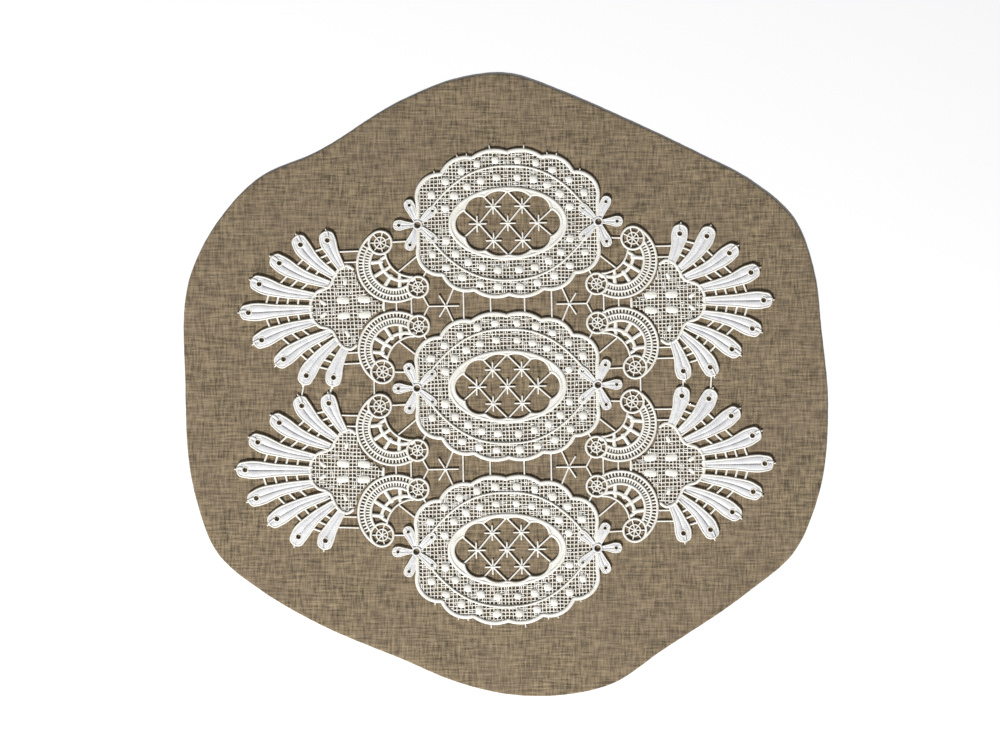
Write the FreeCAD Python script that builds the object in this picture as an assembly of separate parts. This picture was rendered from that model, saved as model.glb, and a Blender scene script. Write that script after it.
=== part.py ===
"""Table runner: a six-sided linen ground with a guipure lace overlay.

Millimetres, +Z up. The origin is under the middle of the linen's outline, on its
underside. The lace lies on the linen: three medallions in a row along Y, and four
fans, two on each side, which thin stitched bars tie together.
"""
import FreeCAD
import Part
import math
import os

from FreeCAD import Vector

# Linen ground
linen_width = 322.0
linen_depth = 311.0
linen_thickness = 0.6

# Where the lace lies on the linen, and how the cloth has drawn it out of square
lace_centre = (1.0, -0.8)
lace_turn = 1.0
row_lean = 1.15
medallion_pitch = 81.5

# Heights of the lace above the linen
net_height = 0.35
bar_height = 0.8
cord_height = 1.2
satin_height = 1.4

# Widths of the stitched work
edge_width = 2.4
cord_width = 1.3
bar_width = 0.95
picot_length = 2.0

# Medallion: the ellipse through the valleys between its scallops, and its scallops
medallion_half_length = 48.0
medallion_half_height = 36.4
side_edge_reach = 46.0
side_edge_half_height = 11.0
scallop_bulges = (2.2, 3.2, 4.9)
valley_angles = (68.6, 45.7)

# Medallion: pointed oval cord, raised knots
oval_half_length = 44.0
oval_half_height = 28.5
oval_fullness = 2.4
knot_radius = 1.75
knot_height = 1.0
inner_knot_row = (0.17, 0.44, 0.67, 0.88, 1.04)
outer_knot_row = (0.115, 0.30, 0.48, 0.645, 0.79)

# Medallion: middle ring, its scalloped opening and the star bars in it
ring_half_length = 29.8
ring_half_height = 18.3
opening_cusps = ((21.0, 6.5), (11.3, 12.8), (0.0, 15.0))
opening_bulges = (5.0, 3.0, 1.9)
star_pitch = 14.5
star_rise = 8.5
star_arm = 4.2

# Florets at the sides of a medallion: each petal's centre line from the eyelet, and its half widths
floret_centre_x = 45.2
floret_eyelet_radius = 1.5
floret_eyelet_width = 1.1
floret_hole_radius = 0.8
floret_middle_petal = ((2.2, 0.0), (5.6, 0.0), (9.3, 0.0), (12.3, 0.0))
floret_side_petal = ((0.8, 2.1), (2.3, 6.2), (3.9, 9.9), (5.0, 12.6))
floret_inner_petal = ((-1.6, 1.5), (-4.6, 4.3), (-7.6, 7.0), (-9.5, 8.6))
floret_middle_widths = (1.1, 1.9, 2.7)
floret_side_widths = (1.3, 2.2, 2.7)
floret_inner_widths = (1.2, 2.0, 2.3)

# Fans: palmette outline around the net, by its upper half, which starts along a scroll
palmette_centre = (84.0, 0.0)
palmette_hug_sweep = (-62.0, -9.0)
palmette_hug_step = 13.0
palmette_tip = (61.0, 0.0)
palmette_points = ((79.5, 20.8), (83.2, 19.4), (86.0, 15.6), (88.0, 11.6), (90.4, 10.0),
                   (94.2, 8.8), (97.4, 5.4), (98.5, 0.0))
palmette_cord_width = 1.5

# Fans: petals by their centre lines, each from its foot to its tip
petal_hole_radius = 1.2
petal_half_widths = (1.8, 2.7, 3.4)
middle_petal = ((99.3, 0.0), (114.0, 0.0), (129.0, 0.0), (133.5, 0.0))
side_petals = (((98.6, 6.8), (111.5, 9.6), (123.0, 14.0), (127.2, 16.0)),
               ((90.6, 12.6), (102.0, 17.2), (112.5, 24.0), (116.6, 27.2)),
               ((87.6, 17.4), (95.2, 24.0), (101.5, 32.7), (103.4, 37.4)),
               ((82.8, 21.2), (86.0, 28.0), (88.0, 34.3), (88.6, 39.0)))
middle_ladder_shares = (0.17, 0.33, 0.49, 0.65)
side_ladder_shares = (0.22, 0.40, 0.58)
fan_turns = {"upper_right": 0.4, "lower_right": -0.4, "upper_left": -1.5, "lower_left": 2.5}
petal_pulls = {"upper_right": (-1.2, -0.3), "lower_right": (-0.4, 0.3), "upper_left": (0.5, -0.2),
               "lower_left": (1.9, -0.4)}

# Fans: scrolls on either side of the palmette
scroll_centre = (56.0, 21.3)
scroll_radius = 19.3
scroll_middle_radius = scroll_radius - 3.7
scroll_inner_radius = scroll_radius - 6.8
scroll_sweep = (226.0, 418.0)
scroll_stitch_step = 6.0
scroll_stitch_width = 0.8
outer_head_radius = 6.3
outer_head_angle = 57.0
inner_head_radius = 5.8
inner_head_distance = scroll_radius - 3.1
inner_head_angle = 225.5
head_spokes = 7
thin_arc_centre = (47.0, 28.5)
thin_arc_radius = 13.2
thin_arc_sweep = (-90.0, 10.0)
thin_arc_width = 1.2
filling_outer_angles = (-118.0, -82.0, -46.0, -14.0)
filling_inner_angles = (-74.0, -48.0, -24.0, -2.0)
filling_outer_hole = 2.0
filling_inner_hole = 1.3
filling_outer_rim = 1.0
filling_inner_rim = 0.8

# Tie bars; their ends stop short of the valley ellipses by the seat, inside the scallops
tie_seat = 0.9
medallion_tie_places = (8.5, 22.0)
star_tie_x = 30.8
star_tie_inner_arm = 6.6
star_tie_outer_arm = (3.5, 5.5)
star_fork_x = 39.5
scroll_tie_places = (48.0, 55.5)
head_tie_x = 66.5
thin_arc_tie_angle = -56.4
corner_tie_inset = (1.6, 4.2)
lobe_tie_inset = (5.8, 11.9)
anchor_past_hole = 0.8

# Tacking stitches that hold the lace down through its eyelets
stitch_thread = 0.35
stitch_gap = 0.1

# Offcuts smaller than this, in cubic millimetres, are not stitched
smallest_offcut = 0.75

lace_base = linen_thickness
# The linen's outline, in shares of its half width and half depth
linen_shape = ((1.00, -0.07), (0.98, 0.17), (0.957, 0.36), (0.894, 0.53), (0.757, 0.655),
               (0.60, 0.74), (0.31, 0.88), (0.16, 0.945), (0.00, 0.997), (-0.168, 0.977),
               (-0.323, 0.913), (-0.602, 0.74), (-0.77, 0.662), (-0.894, 0.53), (-0.98, 0.365),
               (-1.00, 0.00), (-0.966, -0.367), (-0.90, -0.54), (-0.762, -0.662), (-0.609, -0.755),
               (-0.311, -0.887), (-0.161, -0.952), (0.00, -0.993), (0.168, -0.997), (0.334, -0.958),
               (0.475, -0.86), (0.757, -0.662), (0.894, -0.54), (0.968, -0.369))


def at_angle(centre, radius, degrees):
    """The point at an angle on a circle."""
    turn = math.radians(degrees)
    return centre[0] + radius * math.cos(turn), centre[1] + radius * math.sin(turn)


def arc_points(centre, radius, start, end, step=10.0):
    """Points along a circular arc, about one for each step of degrees."""
    count = max(3, round(abs(end - start) / step))
    return [at_angle(centre, radius, start + (end - start) * i / count) for i in range(count + 1)]


def toward(start, end, distance):
    """The point at a distance from the start on the way to the end."""
    share = distance / math.dist(start, end)
    return start[0] + (end[0] - start[0]) * share, start[1] + (end[1] - start[1]) * share


def along(path, share):
    """The point at a share of a path's length, taken along its straight pieces."""
    rest = share * sum(math.dist(p, q) for p, q in zip(path, path[1:]))
    for p, q in zip(path, path[1:]):
        if rest <= math.dist(p, q):
            return toward(p, q, rest)
        rest -= math.dist(p, q)
    return path[-1]


def flip(points):
    """The points mirrored across the X axis."""
    return [(x, -y) for x, y in points]


def beside(points, distance, closed=False):
    """The points moved square to their path, to its left."""
    moved = []
    last = len(points) - 1
    for i, (x, y) in enumerate(points):
        x0, y0 = points[i - 1] if i or closed else points[0]
        x1, y1 = points[(i + 1) % len(points)] if i < last or closed else points[last]
        length = math.hypot(x1 - x0, y1 - y0)
        moved.append((x - (y1 - y0) / length * distance, y + (x1 - x0) / length * distance))
    return moved


def curve(points, closed=False):
    """A smooth edge through the points."""
    spline = Part.BSplineCurve()
    spline.interpolate([Vector(x, y, 0) for x, y in points], PeriodicFlag=closed)
    return spline.toShape()


def line(start, end):
    """A straight edge."""
    return Part.makeLine(Vector(*start, 0), Vector(*end, 0))


def slab(wires, height, base=lace_base):
    """A flat solid of a height inside closed wires; a wire inside another is a hole."""
    face = Part.makeFace(wires, "Part::FaceMakerBullseye")
    face.translate(Vector(0, 0, base))
    return face.extrude(Vector(0, 0, height))


def strip(points, width, height, base=lace_base):
    """A flat cord of a width along a path."""
    left = beside(points, width / 2)
    right = beside(points, -width / 2)
    ends = [line(left[-1], right[-1]), line(right[0], left[0])]
    return slab([Part.Wire([curve(left), ends[0], curve(right), ends[1]])], height, base)


def loop(points, width, height, base=lace_base):
    """A flat closed cord of a width along a closed path."""
    sides = [Part.Wire(curve(beside(points, side * width / 2, True), True)) for side in (-1, 1)]
    return slab(sides, height, base)


def disc(centre, radius, height, base=lace_base):
    """A round plate."""
    return Part.makeCylinder(radius, height, Vector(*centre, base))


def arcs_wire(points, bulges):
    """A closed wire of arcs between the points, each bulging to the right of its run."""
    edges = []
    for (x0, y0), (x1, y1), bulge in zip(points, points[1:] + points[:1], bulges):
        if bulge == 0:
            edges.append(line((x0, y0), (x1, y1)))
            continue
        length = math.hypot(x1 - x0, y1 - y0)
        top = ((x0 + x1) / 2 + (y1 - y0) / length * bulge, (y0 + y1) / 2 - (x1 - x0) / length * bulge)
        edges.append(Part.Arc(Vector(x0, y0, 0), Vector(*top, 0), Vector(x1, y1, 0)).toShape())
    return Part.Wire(edges)


def near(first, second):
    """Whether the boxes of two shapes meet."""
    return first.BoundBox.intersect(second.BoundBox)


def trim(shape, neighbours):
    """The shape without what its neighbours take up, and without slivers."""
    tools = [piece for piece in neighbours if near(shape, piece)]
    if not tools:
        return shape
    return Part.makeCompound([solid for solid in shape.cut(tools).Solids if solid.Volume > smallest_offcut])


def group(shapes):
    """One compound of the separate solids in the shapes."""
    return Part.makeCompound([solid for shape in shapes for solid in shape.Solids])


def fuse(shapes):
    """The shapes joined into one."""
    return shapes[0].multiFuse(shapes[1:]).removeSplitter()


def moved(shape, x=0.0, y=0.0, mirror_x=False, mirror_y=False, turn=0.0, turn_about=(0.0, 0.0)):
    """A copy that is turned, then mirrored left to right or top to bottom, then shifted."""
    copy = shape.copy()
    if turn:
        copy.rotate(Vector(*turn_about, 0), Vector(0, 0, 1), turn)
    if mirror_x:
        copy = copy.mirror(Vector(0, 0, 0), Vector(1, 0, 0))
    if mirror_y:
        copy = copy.mirror(Vector(0, 0, 0), Vector(0, 1, 0))
    copy.translate(Vector(x, y, 0))
    return copy


def moved_point(point, y=0.0, mirror_x=False, turn=0.0, turn_about=(0.0, 0.0)):
    """A point after the same turn, mirror and shift."""
    turn = math.radians(turn)
    dx, dy = point[0] - turn_about[0], point[1] - turn_about[1]
    px = turn_about[0] + dx * math.cos(turn) - dy * math.sin(turn)
    py = turn_about[1] + dx * math.sin(turn) + dy * math.cos(turn)
    return (-px if mirror_x else px), py + y


def bar(start, end, width=bar_width, height=bar_height):
    """A straight stitched bar."""
    return strip([start, end], width, height)


# Linen ground


def linen_ground():
    """The plain-cut cloth: a rounded hexagon whose long axis is X, drawn to fill its width and depth."""
    box = curve(linen_shape, True).optimalBoundingBox()
    points = [(x * linen_width / box.XLength, y * linen_depth / box.YLength) for x, y in linen_shape]
    cloth = slab([Part.Wire(curve(points, True))], linen_thickness, 0.0)
    middle = cloth.BoundBox.Center
    cloth.translate(Vector(-middle.x, -middle.y, 0))
    return cloth


# Medallions


def valley_height(x):
    """How far the ellipse through the scallop valleys stands above the X axis at x."""
    return medallion_half_height * math.sqrt(max(0.0, 1 - (x / medallion_half_length) ** 2))


def oval_height(x):
    """How far the pointed oval cord stands above the X axis at x."""
    return oval_half_height * (1 - min(1.0, abs(x) / oval_half_length) ** oval_fullness)


def ring_height(x):
    """How far the middle ring's outer edge stands above the X axis at x."""
    return ring_half_height * math.sqrt(max(0.0, 1 - (x / ring_half_length) ** 2))


def medallion_wires():
    """The outer and inner wires of the scalloped edge."""
    quarter = [(side_edge_reach, side_edge_half_height)]
    for angle in reversed(valley_angles):
        x = medallion_half_length * math.cos(math.radians(angle))
        quarter.append((x, valley_height(x)))
    top = (0.0, medallion_half_height)
    left = [(-x, y) for x, y in reversed(quarter)]
    upper = quarter + [top] + left
    points = upper + [(-x, -y) for x, y in upper]
    rising = list(reversed(scallop_bulges))
    half = rising + rising[::-1] + [0]
    outer = arcs_wire(points, half + half)
    return outer, outer.makeOffset2D(-edge_width)


def petal(path, half_widths, height, hole_radius, picot=True):
    """A satin-stitched petal on a centre line of four points, with a hole at the third."""
    sides = [[beside(path, side * width)[i] for i, width in enumerate(half_widths)] for side in (1, -1)]
    outline = sides[0] + [path[3]] + sides[1][::-1]
    body = slab([Part.Wire([curve(outline), line(outline[-1], outline[0])])], height)
    if picot:
        tip = math.dist(path[2], path[3])
        ends = [toward(path[2], path[3], distance) for distance in (tip - bar_width, tip + picot_length)]
        body = body.fuse(bar(*ends))
    return body.cut(disc(path[2], hole_radius, height))


def floret_petals():
    """The centre lines of a floret's middle, side and inner petals, on the right."""
    return [[(floret_centre_x + x, y) for x, y in path]
            for path in (floret_middle_petal, floret_side_petal, floret_inner_petal)]


def floret():
    """The five petals around an eyelet at the right end of a medallion."""
    middle, side, inner = floret_petals()
    eye = (floret_centre_x, 0.0)
    outer_radius = floret_eyelet_radius + floret_eyelet_width
    shapes = [disc(eye, outer_radius, satin_height)]
    shapes.append(petal(middle, floret_middle_widths, satin_height, floret_hole_radius, False))
    for path in (side, flip(side)):
        shapes.append(petal(path, floret_side_widths, satin_height, floret_hole_radius, False))
    for path in (inner, flip(inner)):
        shapes.append(petal(path, floret_inner_widths, satin_height, floret_hole_radius, False))
    body = fuse(shapes)
    return body.cut(disc(eye, floret_eyelet_radius, satin_height))


def oval_cord():
    """The two halves of the pointed oval cord on the net, which end in the florets' inner petals."""
    reach = (floret_petals()[2][1][0] + floret_petals()[2][2][0]) / 2
    count = 12
    xs = [reach * math.cos(math.pi * i / count) for i in range(count + 1)]
    upper = [(x, oval_height(x)) for x in xs]
    height = cord_height - net_height
    return [strip(points, cord_width, height, lace_base + net_height) for points in (upper, flip(upper))]


def knots():
    """The raised knots, one row inside the pointed oval and one row outside it."""
    places = []
    for share in inner_knot_row:
        x = share * ring_half_length
        places.append((x, (ring_height(x) + oval_height(x)) / 2))
    for share in outer_knot_row:
        x = share * medallion_half_length
        places.append((x, (oval_height(x) + valley_height(x) - edge_width / 2) / 2))
    base = lace_base + net_height
    return [disc((sx * x, sy * y), knot_radius, knot_height, base)
            for x, y in places for sx in (-1, 1) for sy in (-1, 1)]


def opening_wire():
    """The ten-lobed opening of the middle ring."""
    right, slanted, top = opening_bulges
    upper = list(opening_cusps) + [(-x, y) for x, y in reversed(opening_cusps[:2])]
    points = upper + [(-x, -y) for x, y in upper]
    half = [slanted, top, top, slanted, right]
    return arcs_wire(points, half + half)


def star_lines():
    """The stitched bars across the ring's opening, as pairs of ends."""
    lines = []
    corner, slanted, top = opening_cusps
    for sy in (-1, 1):
        for sx in (-1, 1):
            route = [(-sx * corner[0], sy * corner[1]), (-sx * star_pitch, 0.0),
                     (-sx * star_pitch / 2, -sy * star_rise), (0.0, -sy * top[1])]
            lines += list(zip(route, route[1:]))
        route = [(-slanted[0], sy * slanted[1]), (-star_pitch / 2, sy * star_rise), (0.0, 0.0),
                 (star_pitch / 2, -sy * star_rise), (slanted[0], -sy * slanted[1])]
        lines += list(zip(route, route[1:]))
    stars = [(k * star_pitch, 0.0) for k in (-1, 0, 1)]
    stars += [(sx * star_pitch / 2, sy * star_rise) for sx in (-1, 1) for sy in (-1, 1)]
    for x, y in stars:
        lines.append(((x - star_arm, y), (x + star_arm, y)))
        lines.append(((x, y - star_arm), (x, y + star_arm)))
    return lines


def star_bars(opening):
    """The star filling, trimmed to the opening."""
    reach = 1 + picot_length / ring_half_length
    bars = []
    for start, end in star_lines():
        outward = [(x * reach, y * reach) if math.hypot(x, y) > star_pitch else (x, y)
                   for x, y in (start, end)]
        bars.append(bar(*outward))
    return fuse(bars).common(opening)


def medallion():
    """The parts of one medallion about its own middle."""
    outer, inner = medallion_wires()
    florets = {"right_floret": floret()}
    florets["left_floret"] = moved(florets["right_floret"], mirror_x=True)
    ring_outline = Part.Wire(Part.Ellipse(Vector(), ring_half_length, ring_half_height).toShape())
    opening = slab([opening_wire()], cord_height)
    sides = list(florets.values())
    parts = {"scalloped_edge": trim(slab([outer, inner], cord_height), sides)}
    parts["net"] = trim(slab([inner, ring_outline], net_height), sides)
    parts["oval_cord"] = group([trim(half, sides) for half in oval_cord()])
    parts["ring"] = slab([ring_outline, opening_wire()], cord_height)
    parts["star_bars"] = star_bars(opening)
    parts["knots"] = group(knots())
    parts.update(florets)
    return parts


# Fans: u runs outward from the lace's middle line and v across the fan, from its axis


def palmette_path():
    """The closed middle line of the palmette's outline cord, anticlockwise."""
    hug = scroll_radius + palmette_cord_width / 2
    upper = arc_points(scroll_centre, hug, *palmette_hug_sweep, palmette_hug_step)
    upper = [point for point in upper if point[0] < palmette_points[0][0]]
    upper += list(palmette_points)
    lower = flip(upper[:-1])
    return [palmette_tip] + lower + upper[::-1]


def scroll_heads():
    """The middles of the scroll's outer head and inner head."""
    outer = at_angle(scroll_centre, scroll_radius - outer_head_radius, outer_head_angle)
    inner = at_angle(scroll_centre, inner_head_distance, inner_head_angle)
    return outer, inner


def scroll():
    """A C-shaped scroll of three cords with cross stitches, and a spoked head at each end."""
    start, end = scroll_sweep
    outer_head, inner_head = scroll_heads()
    cords = [(scroll_radius - cord_width / 2, cord_width), (scroll_middle_radius, thin_arc_width),
             (scroll_inner_radius, cord_width)]
    shapes = [strip(arc_points(scroll_centre, radius, start, end), width, cord_height)
              for radius, width in cords]
    stitches = []
    angle = start + scroll_stitch_step
    while angle < end - scroll_stitch_step:
        ends = [at_angle(scroll_centre, radius, angle)
                for radius in (scroll_inner_radius, scroll_radius - cord_width / 2)]
        stitches.append(bar(*ends, scroll_stitch_width, net_height))
        angle += scroll_stitch_step
    heads = []
    for centre, radius in ((outer_head, outer_head_radius), (inner_head, inner_head_radius)):
        heads.append(disc(centre, radius, cord_height))
    body = fuse(shapes + stitches + heads)
    for centre, radius in ((outer_head, outer_head_radius), (inner_head, inner_head_radius)):
        opening = disc(centre, radius - cord_width, cord_height)
        spokes = [bar(centre, at_angle(centre, radius - cord_width / 2, 360.0 * i / head_spokes),
                      scroll_stitch_width, net_height) for i in range(head_spokes)]
        body = body.cut(opening).fuse(spokes)
    arc = strip(arc_points(thin_arc_centre, thin_arc_radius, *thin_arc_sweep), thin_arc_width, cord_height)
    return body.fuse(trim(arc, [disc(centre, radius - cord_width / 2, cord_height) for centre, radius in
                                ((outer_head, outer_head_radius), (inner_head, inner_head_radius))]))


def scroll_envelope():
    """The scroll's outline with its openings filled, which its neighbours stop at."""
    start, end = scroll_sweep
    inside = scroll_inner_radius - cord_width / 2
    band = strip(arc_points(scroll_centre, (scroll_radius + inside) / 2, start, end),
                 scroll_radius - inside, satin_height)
    outer_head, inner_head = scroll_heads()
    arc = strip(arc_points(thin_arc_centre, thin_arc_radius, *thin_arc_sweep), thin_arc_width, satin_height)
    return fuse([band, arc, disc(outer_head, outer_head_radius, satin_height),
                 disc(inner_head, inner_head_radius, satin_height)])


def scroll_filling(envelope):
    """The holed plate between the scroll's inner cord and its thin arc."""
    plate = disc(scroll_centre, scroll_inner_radius, bar_height)
    plate = plate.cut(disc(thin_arc_centre, thin_arc_radius, bar_height))
    outer_radius = scroll_inner_radius - cord_width / 2 - filling_outer_rim - filling_outer_hole
    inner_radius = thin_arc_radius + thin_arc_width / 2 + filling_inner_rim + filling_inner_hole
    holes = [disc(at_angle(scroll_centre, outer_radius, angle), filling_outer_hole, bar_height)
             for angle in filling_outer_angles]
    holes += [disc(at_angle(thin_arc_centre, inner_radius, angle), filling_inner_hole, bar_height)
              for angle in filling_inner_angles]
    return trim(plate, [envelope] + holes)


def petal_paths(pull=(0.0, 0.0)):
    """The nine petals' centre lines, from the lowest to the highest, with their ends pulled."""
    paths = [flip(path) for path in reversed(side_petals)] + [middle_petal] + list(side_petals)
    shares = (0.0, 0.5, 1.0, 1.0)
    return [[(x + pull[0] * share, y + pull[1] * share) for (x, y), share in zip(path, shares)]
            for path in paths]


def ladder_lines(paths):
    """The bars between neighbouring petals, as pairs of ends on their centre lines."""
    middle = len(paths) // 2
    lines = []
    for fan_side in (paths[middle:], paths[middle::-1]):
        for number, (first, second) in enumerate(zip(fan_side, fan_side[1:])):
            shares = side_ladder_shares if number else middle_ladder_shares
            lines += [(along(first, share), along(second, share)) for share in shares]
    return lines


def side_tie():
    """The bar from the outermost petal to the scroll, at the height of the petal's second point."""
    foot = side_petals[-1][1]
    rise = foot[1] - scroll_centre[1]
    reach = math.sqrt((scroll_radius - cord_width / 2) ** 2 - rise ** 2)
    return foot, (scroll_centre[0] + reach, foot[1])


def fan(turn, pull, upper, envelope):
    """The parts of one fan about its own axis, from its upper scroll; palmette and petals are turned."""
    turned = {"turn": turn, "turn_about": palmette_centre}
    paths = petal_paths(pull)
    path = palmette_path()
    outline = moved(loop(path, palmette_cord_width, cord_height), **turned)
    inside = Part.Wire(curve(beside(path, palmette_cord_width / 2, True), True))
    petals = [moved(petal(line_points, petal_half_widths, satin_height, petal_hole_radius), **turned)
              for line_points in paths]
    sides = [envelope, moved(envelope, mirror_y=True)]
    parts = {"palmette_outline": trim(outline, sides)}
    parts["palmette_net"] = trim(moved(slab([inside], net_height), **turned), sides)
    petals = [trim(piece, sides + [parts["palmette_outline"]]) for piece in petals]
    parts["petals"] = group(petals)
    ladders = [bar(moved_point(p, **turned), moved_point(q, **turned)) for p, q in ladder_lines(paths)]
    foot, seat = side_tie()
    ladders += [bar(moved_point(foot, **turned), seat),
                bar(moved_point((foot[0], -foot[1]), **turned), (seat[0], -seat[1]))]
    obstacles = petals + sides + [parts["palmette_outline"]]
    parts["ladder_bars"] = group([trim(piece, obstacles) for piece in ladders])
    filling = scroll_filling(envelope)
    parts["scroll_fillings"] = group([filling, moved(filling, mirror_y=True)])
    parts["scroll_upper"] = upper
    parts["scroll_lower"] = moved(upper, mirror_y=True)
    return parts


# Ties between the motifs


def row_shift(y):
    """How far the lean of the lace's rows moves a row at the height y to the right."""
    return y * math.tan(math.radians(row_lean))


def in_row(shape, y, mirrored=False):
    """A copy of a motif in its row, on the left when it is mirrored."""
    return moved(shape, x=row_shift(y), y=y, mirror_x=mirrored)


def medallion_tie_lines():
    """The upright bars between neighbouring medallions."""
    lines = []
    for x in medallion_tie_places:
        reach = medallion_pitch / 2 - valley_height(x) - tie_seat
        for sx in (-1, 1):
            for row in (-1, 1):
                middle = row * medallion_pitch / 2
                shifted = sx * x + row_shift(middle)
                lines.append(((shifted, middle - reach), (shifted, middle + reach)))
    return lines


def star_tie_lines():
    """The six-armed star of bars between two medallions and the heads of a fan's scrolls."""
    head = scroll_heads()[1]
    centre = (star_tie_x, 0.0)
    fork = (star_fork_x, 0.0)
    arm_x = star_tie_x - star_arm
    arm = (arm_x, medallion_pitch / 2 - valley_height(arm_x) - tie_seat)
    lines = [((star_tie_x - star_tie_inner_arm, 0.0), fork)]
    for sy in (-1, 1):
        lines.append((fork, toward((head[0], sy * head[1]), fork, inner_head_radius - cord_width / 2)))
        lines.append((centre, (arm[0], sy * arm[1])))
        lines.append((centre, (star_tie_x + star_tie_outer_arm[0], sy * star_tie_outer_arm[1])))
    return lines


def fan_medallion_lines():
    """The bars of one fan between its own scrolls and from them to the medallions."""
    lines = []
    for u in scroll_tie_places:
        rise = scroll_centre[1] - math.sqrt(scroll_radius ** 2 - (scroll_centre[0] - u) ** 2)
        lines.append(((u, -rise - cord_width / 2), (u, rise + cord_width / 2)))
    arc_point = at_angle(thin_arc_centre, thin_arc_radius, thin_arc_tie_angle)
    corner = (side_edge_reach, medallion_pitch / 2 - side_edge_half_height)
    edge_point = (corner[0] - corner_tie_inset[0], corner[1] - corner_tie_inset[1])
    head, tail = scroll_heads()
    lobe_point = (corner[0] - lobe_tie_inset[0], corner[1] - lobe_tie_inset[1])
    tail_point = toward(tail, lobe_point, inner_head_radius - cord_width / 2)
    waist, hole = floret_petals()[1][1:3]
    petal_point = ((waist[0] + hole[0]) / 2, medallion_pitch / 2 - (waist[1] + hole[1]) / 2)
    head_point = toward(head, petal_point, outer_head_radius - cord_width / 2)
    for sy in (-1, 1):
        lines.append(((arc_point[0], sy * arc_point[1]), (edge_point[0], sy * edge_point[1])))
        lines.append(((tail_point[0], sy * tail_point[1]), (lobe_point[0], sy * lobe_point[1])))
        lines.append(((petal_point[0], sy * petal_point[1]), (head_point[0], sy * head_point[1])))
    return lines


def fan_anchor(place, number):
    """The point between the hole and the tip of a fan's petal that is tied to the next fan."""
    level, side = place.split("_")
    path = petal_paths(petal_pulls[place])[number if level == "upper" else -1 - number]
    row_y = medallion_pitch / 2 if level == "upper" else -medallion_pitch / 2
    point = toward(path[2], path[3], petal_hole_radius + anchor_past_hole)
    x, y = moved_point(point, row_y, side == "left", fan_turns[place], palmette_centre)
    return x + row_shift(row_y), y


def build():
    """Every sub-part by name, in the lace's place on the linen."""
    parts = {}
    one_medallion = medallion()
    rows = {"top": medallion_pitch, "middle": 0.0, "bottom": -medallion_pitch}
    for row, y in rows.items():
        for name, shape in one_medallion.items():
            parts[f"{row}_{name}"] = in_row(shape, y)
    places = {f"{level}_{side}": (y, side == "left")
              for side in ("left", "right")
              for level, y in (("upper", medallion_pitch / 2), ("lower", -medallion_pitch / 2))}
    outlines = [in_row(slab([medallion_wires()[0]], satin_height), y) for y in rows.values()]
    outlines += [parts[f"{row}_{side}_floret"] for row in rows for side in ("left", "right")]
    upper_scroll, envelope = scroll(), scroll_envelope()
    for place, (y, mirrored) in places.items():
        one_fan = fan(fan_turns[place], petal_pulls[place], upper_scroll, envelope)
        for name, shape in one_fan.items():
            parts[f"{place}_{name}"] = in_row(shape, y, mirrored)
        outlines += [in_row(envelope, y, mirrored), in_row(moved(envelope, mirror_y=True), y, mirrored)]
        outlines += parts[f"{place}_petals"].Solids
    parts["medallion_tie_bars"] = group([trim(bar(*ends), outlines) for ends in medallion_tie_lines()])
    star = [bar(*ends) for ends in star_tie_lines()]
    stars = [trim(in_row(fuse(star), y, mirrored), outlines)
             for y, mirrored in places.values()]
    parts["star_ties"] = group(stars)
    ties = [in_row(bar(*ends), y, mirrored)
            for ends in fan_medallion_lines() for y, mirrored in places.values()]
    ties += fan_to_fan_bars()
    parts["fan_tie_bars"] = group([trim(piece, outlines) for piece in ties])
    parts["tacking_stitches"] = group(tacking_stitches(places))
    return place_lace(parts)


def fan_to_fan_bars():
    """The bars between the upper and the lower fan of each side."""
    bars = []
    gap = medallion_pitch / 2
    head = scroll_heads()[0]
    rise = math.sqrt((outer_head_radius - cord_width / 2) ** 2 - (head_tie_x - head[0]) ** 2)
    end = gap - head[1] - rise
    for side in ("left", "right"):
        for number in (0, 1):
            bars.append(bar(fan_anchor(f"upper_{side}", number), fan_anchor(f"lower_{side}", number)))
        x = -head_tie_x if side == "left" else head_tie_x
        bars.append(bar((x, -end), (x, end)))
    return bars


def tacking_stitches(places):
    """A thread loop over each petal's end, down through its hole and down beside its tip."""
    stitches = []
    for place, (y, mirrored) in places.items():
        for path in petal_paths(petal_pulls[place]):
            tip = math.dist(path[2], path[3])
            aside = bar_width / 2 + stitch_gap + stitch_thread / 2
            side = beside(path, aside)
            shift = (side[3][0] - path[3][0], side[3][1] - path[3][1])
            hole_depth = math.sqrt(petal_hole_radius ** 2 - (aside + stitch_thread / 2) ** 2)
            inner, outer = [toward(path[2], path[3], d) for d in
                            (hole_depth - stitch_gap, tip + stitch_gap)]
            ends = [(x + shift[0], z + shift[1]) for x, z in (inner, outer)]
            over = toward(ends[0], ends[1], -stitch_thread), toward(ends[1], ends[0], -stitch_thread)
            top = satin_height + stitch_gap
            cross = strip(over, stitch_thread, stitch_thread, lace_base + top)
            legs = [strip(leg, stitch_thread, top) for leg in
                    ((over[0], ends[0]), (ends[1], over[1]))]
            stitch = fuse([cross] + legs)
            turned = moved(stitch, turn=fan_turns[place], turn_about=palmette_centre)
            stitches.append(in_row(turned, y, mirrored))
    return stitches


def place_lace(parts):
    """The lace parts turned and shifted to their place on the linen."""
    for shape in parts.values():
        shape.rotate(Vector(0, 0, 0), Vector(0, 0, 1), lace_turn)
        shape.translate(Vector(*lace_centre, 0))
    return parts


os.makedirs("parts", exist_ok=True)
model = {"linen_ground": linen_ground()}
model.update(build())
for node, node_shape in model.items():
    node_shape.exportStep(f"parts/{node}.step")
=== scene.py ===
"""Table runner: a linen ground with a guipure lace overlay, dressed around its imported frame.

Each lace piece is a family of stitched cords. A cord is a closed surface of two parameters, the
place along it and the angle around it, worked out as whole arrays. Shapes are in millimetres in
their motif's own frame, and are carried to the places of the frame's own nodes.
"""

import math

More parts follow.
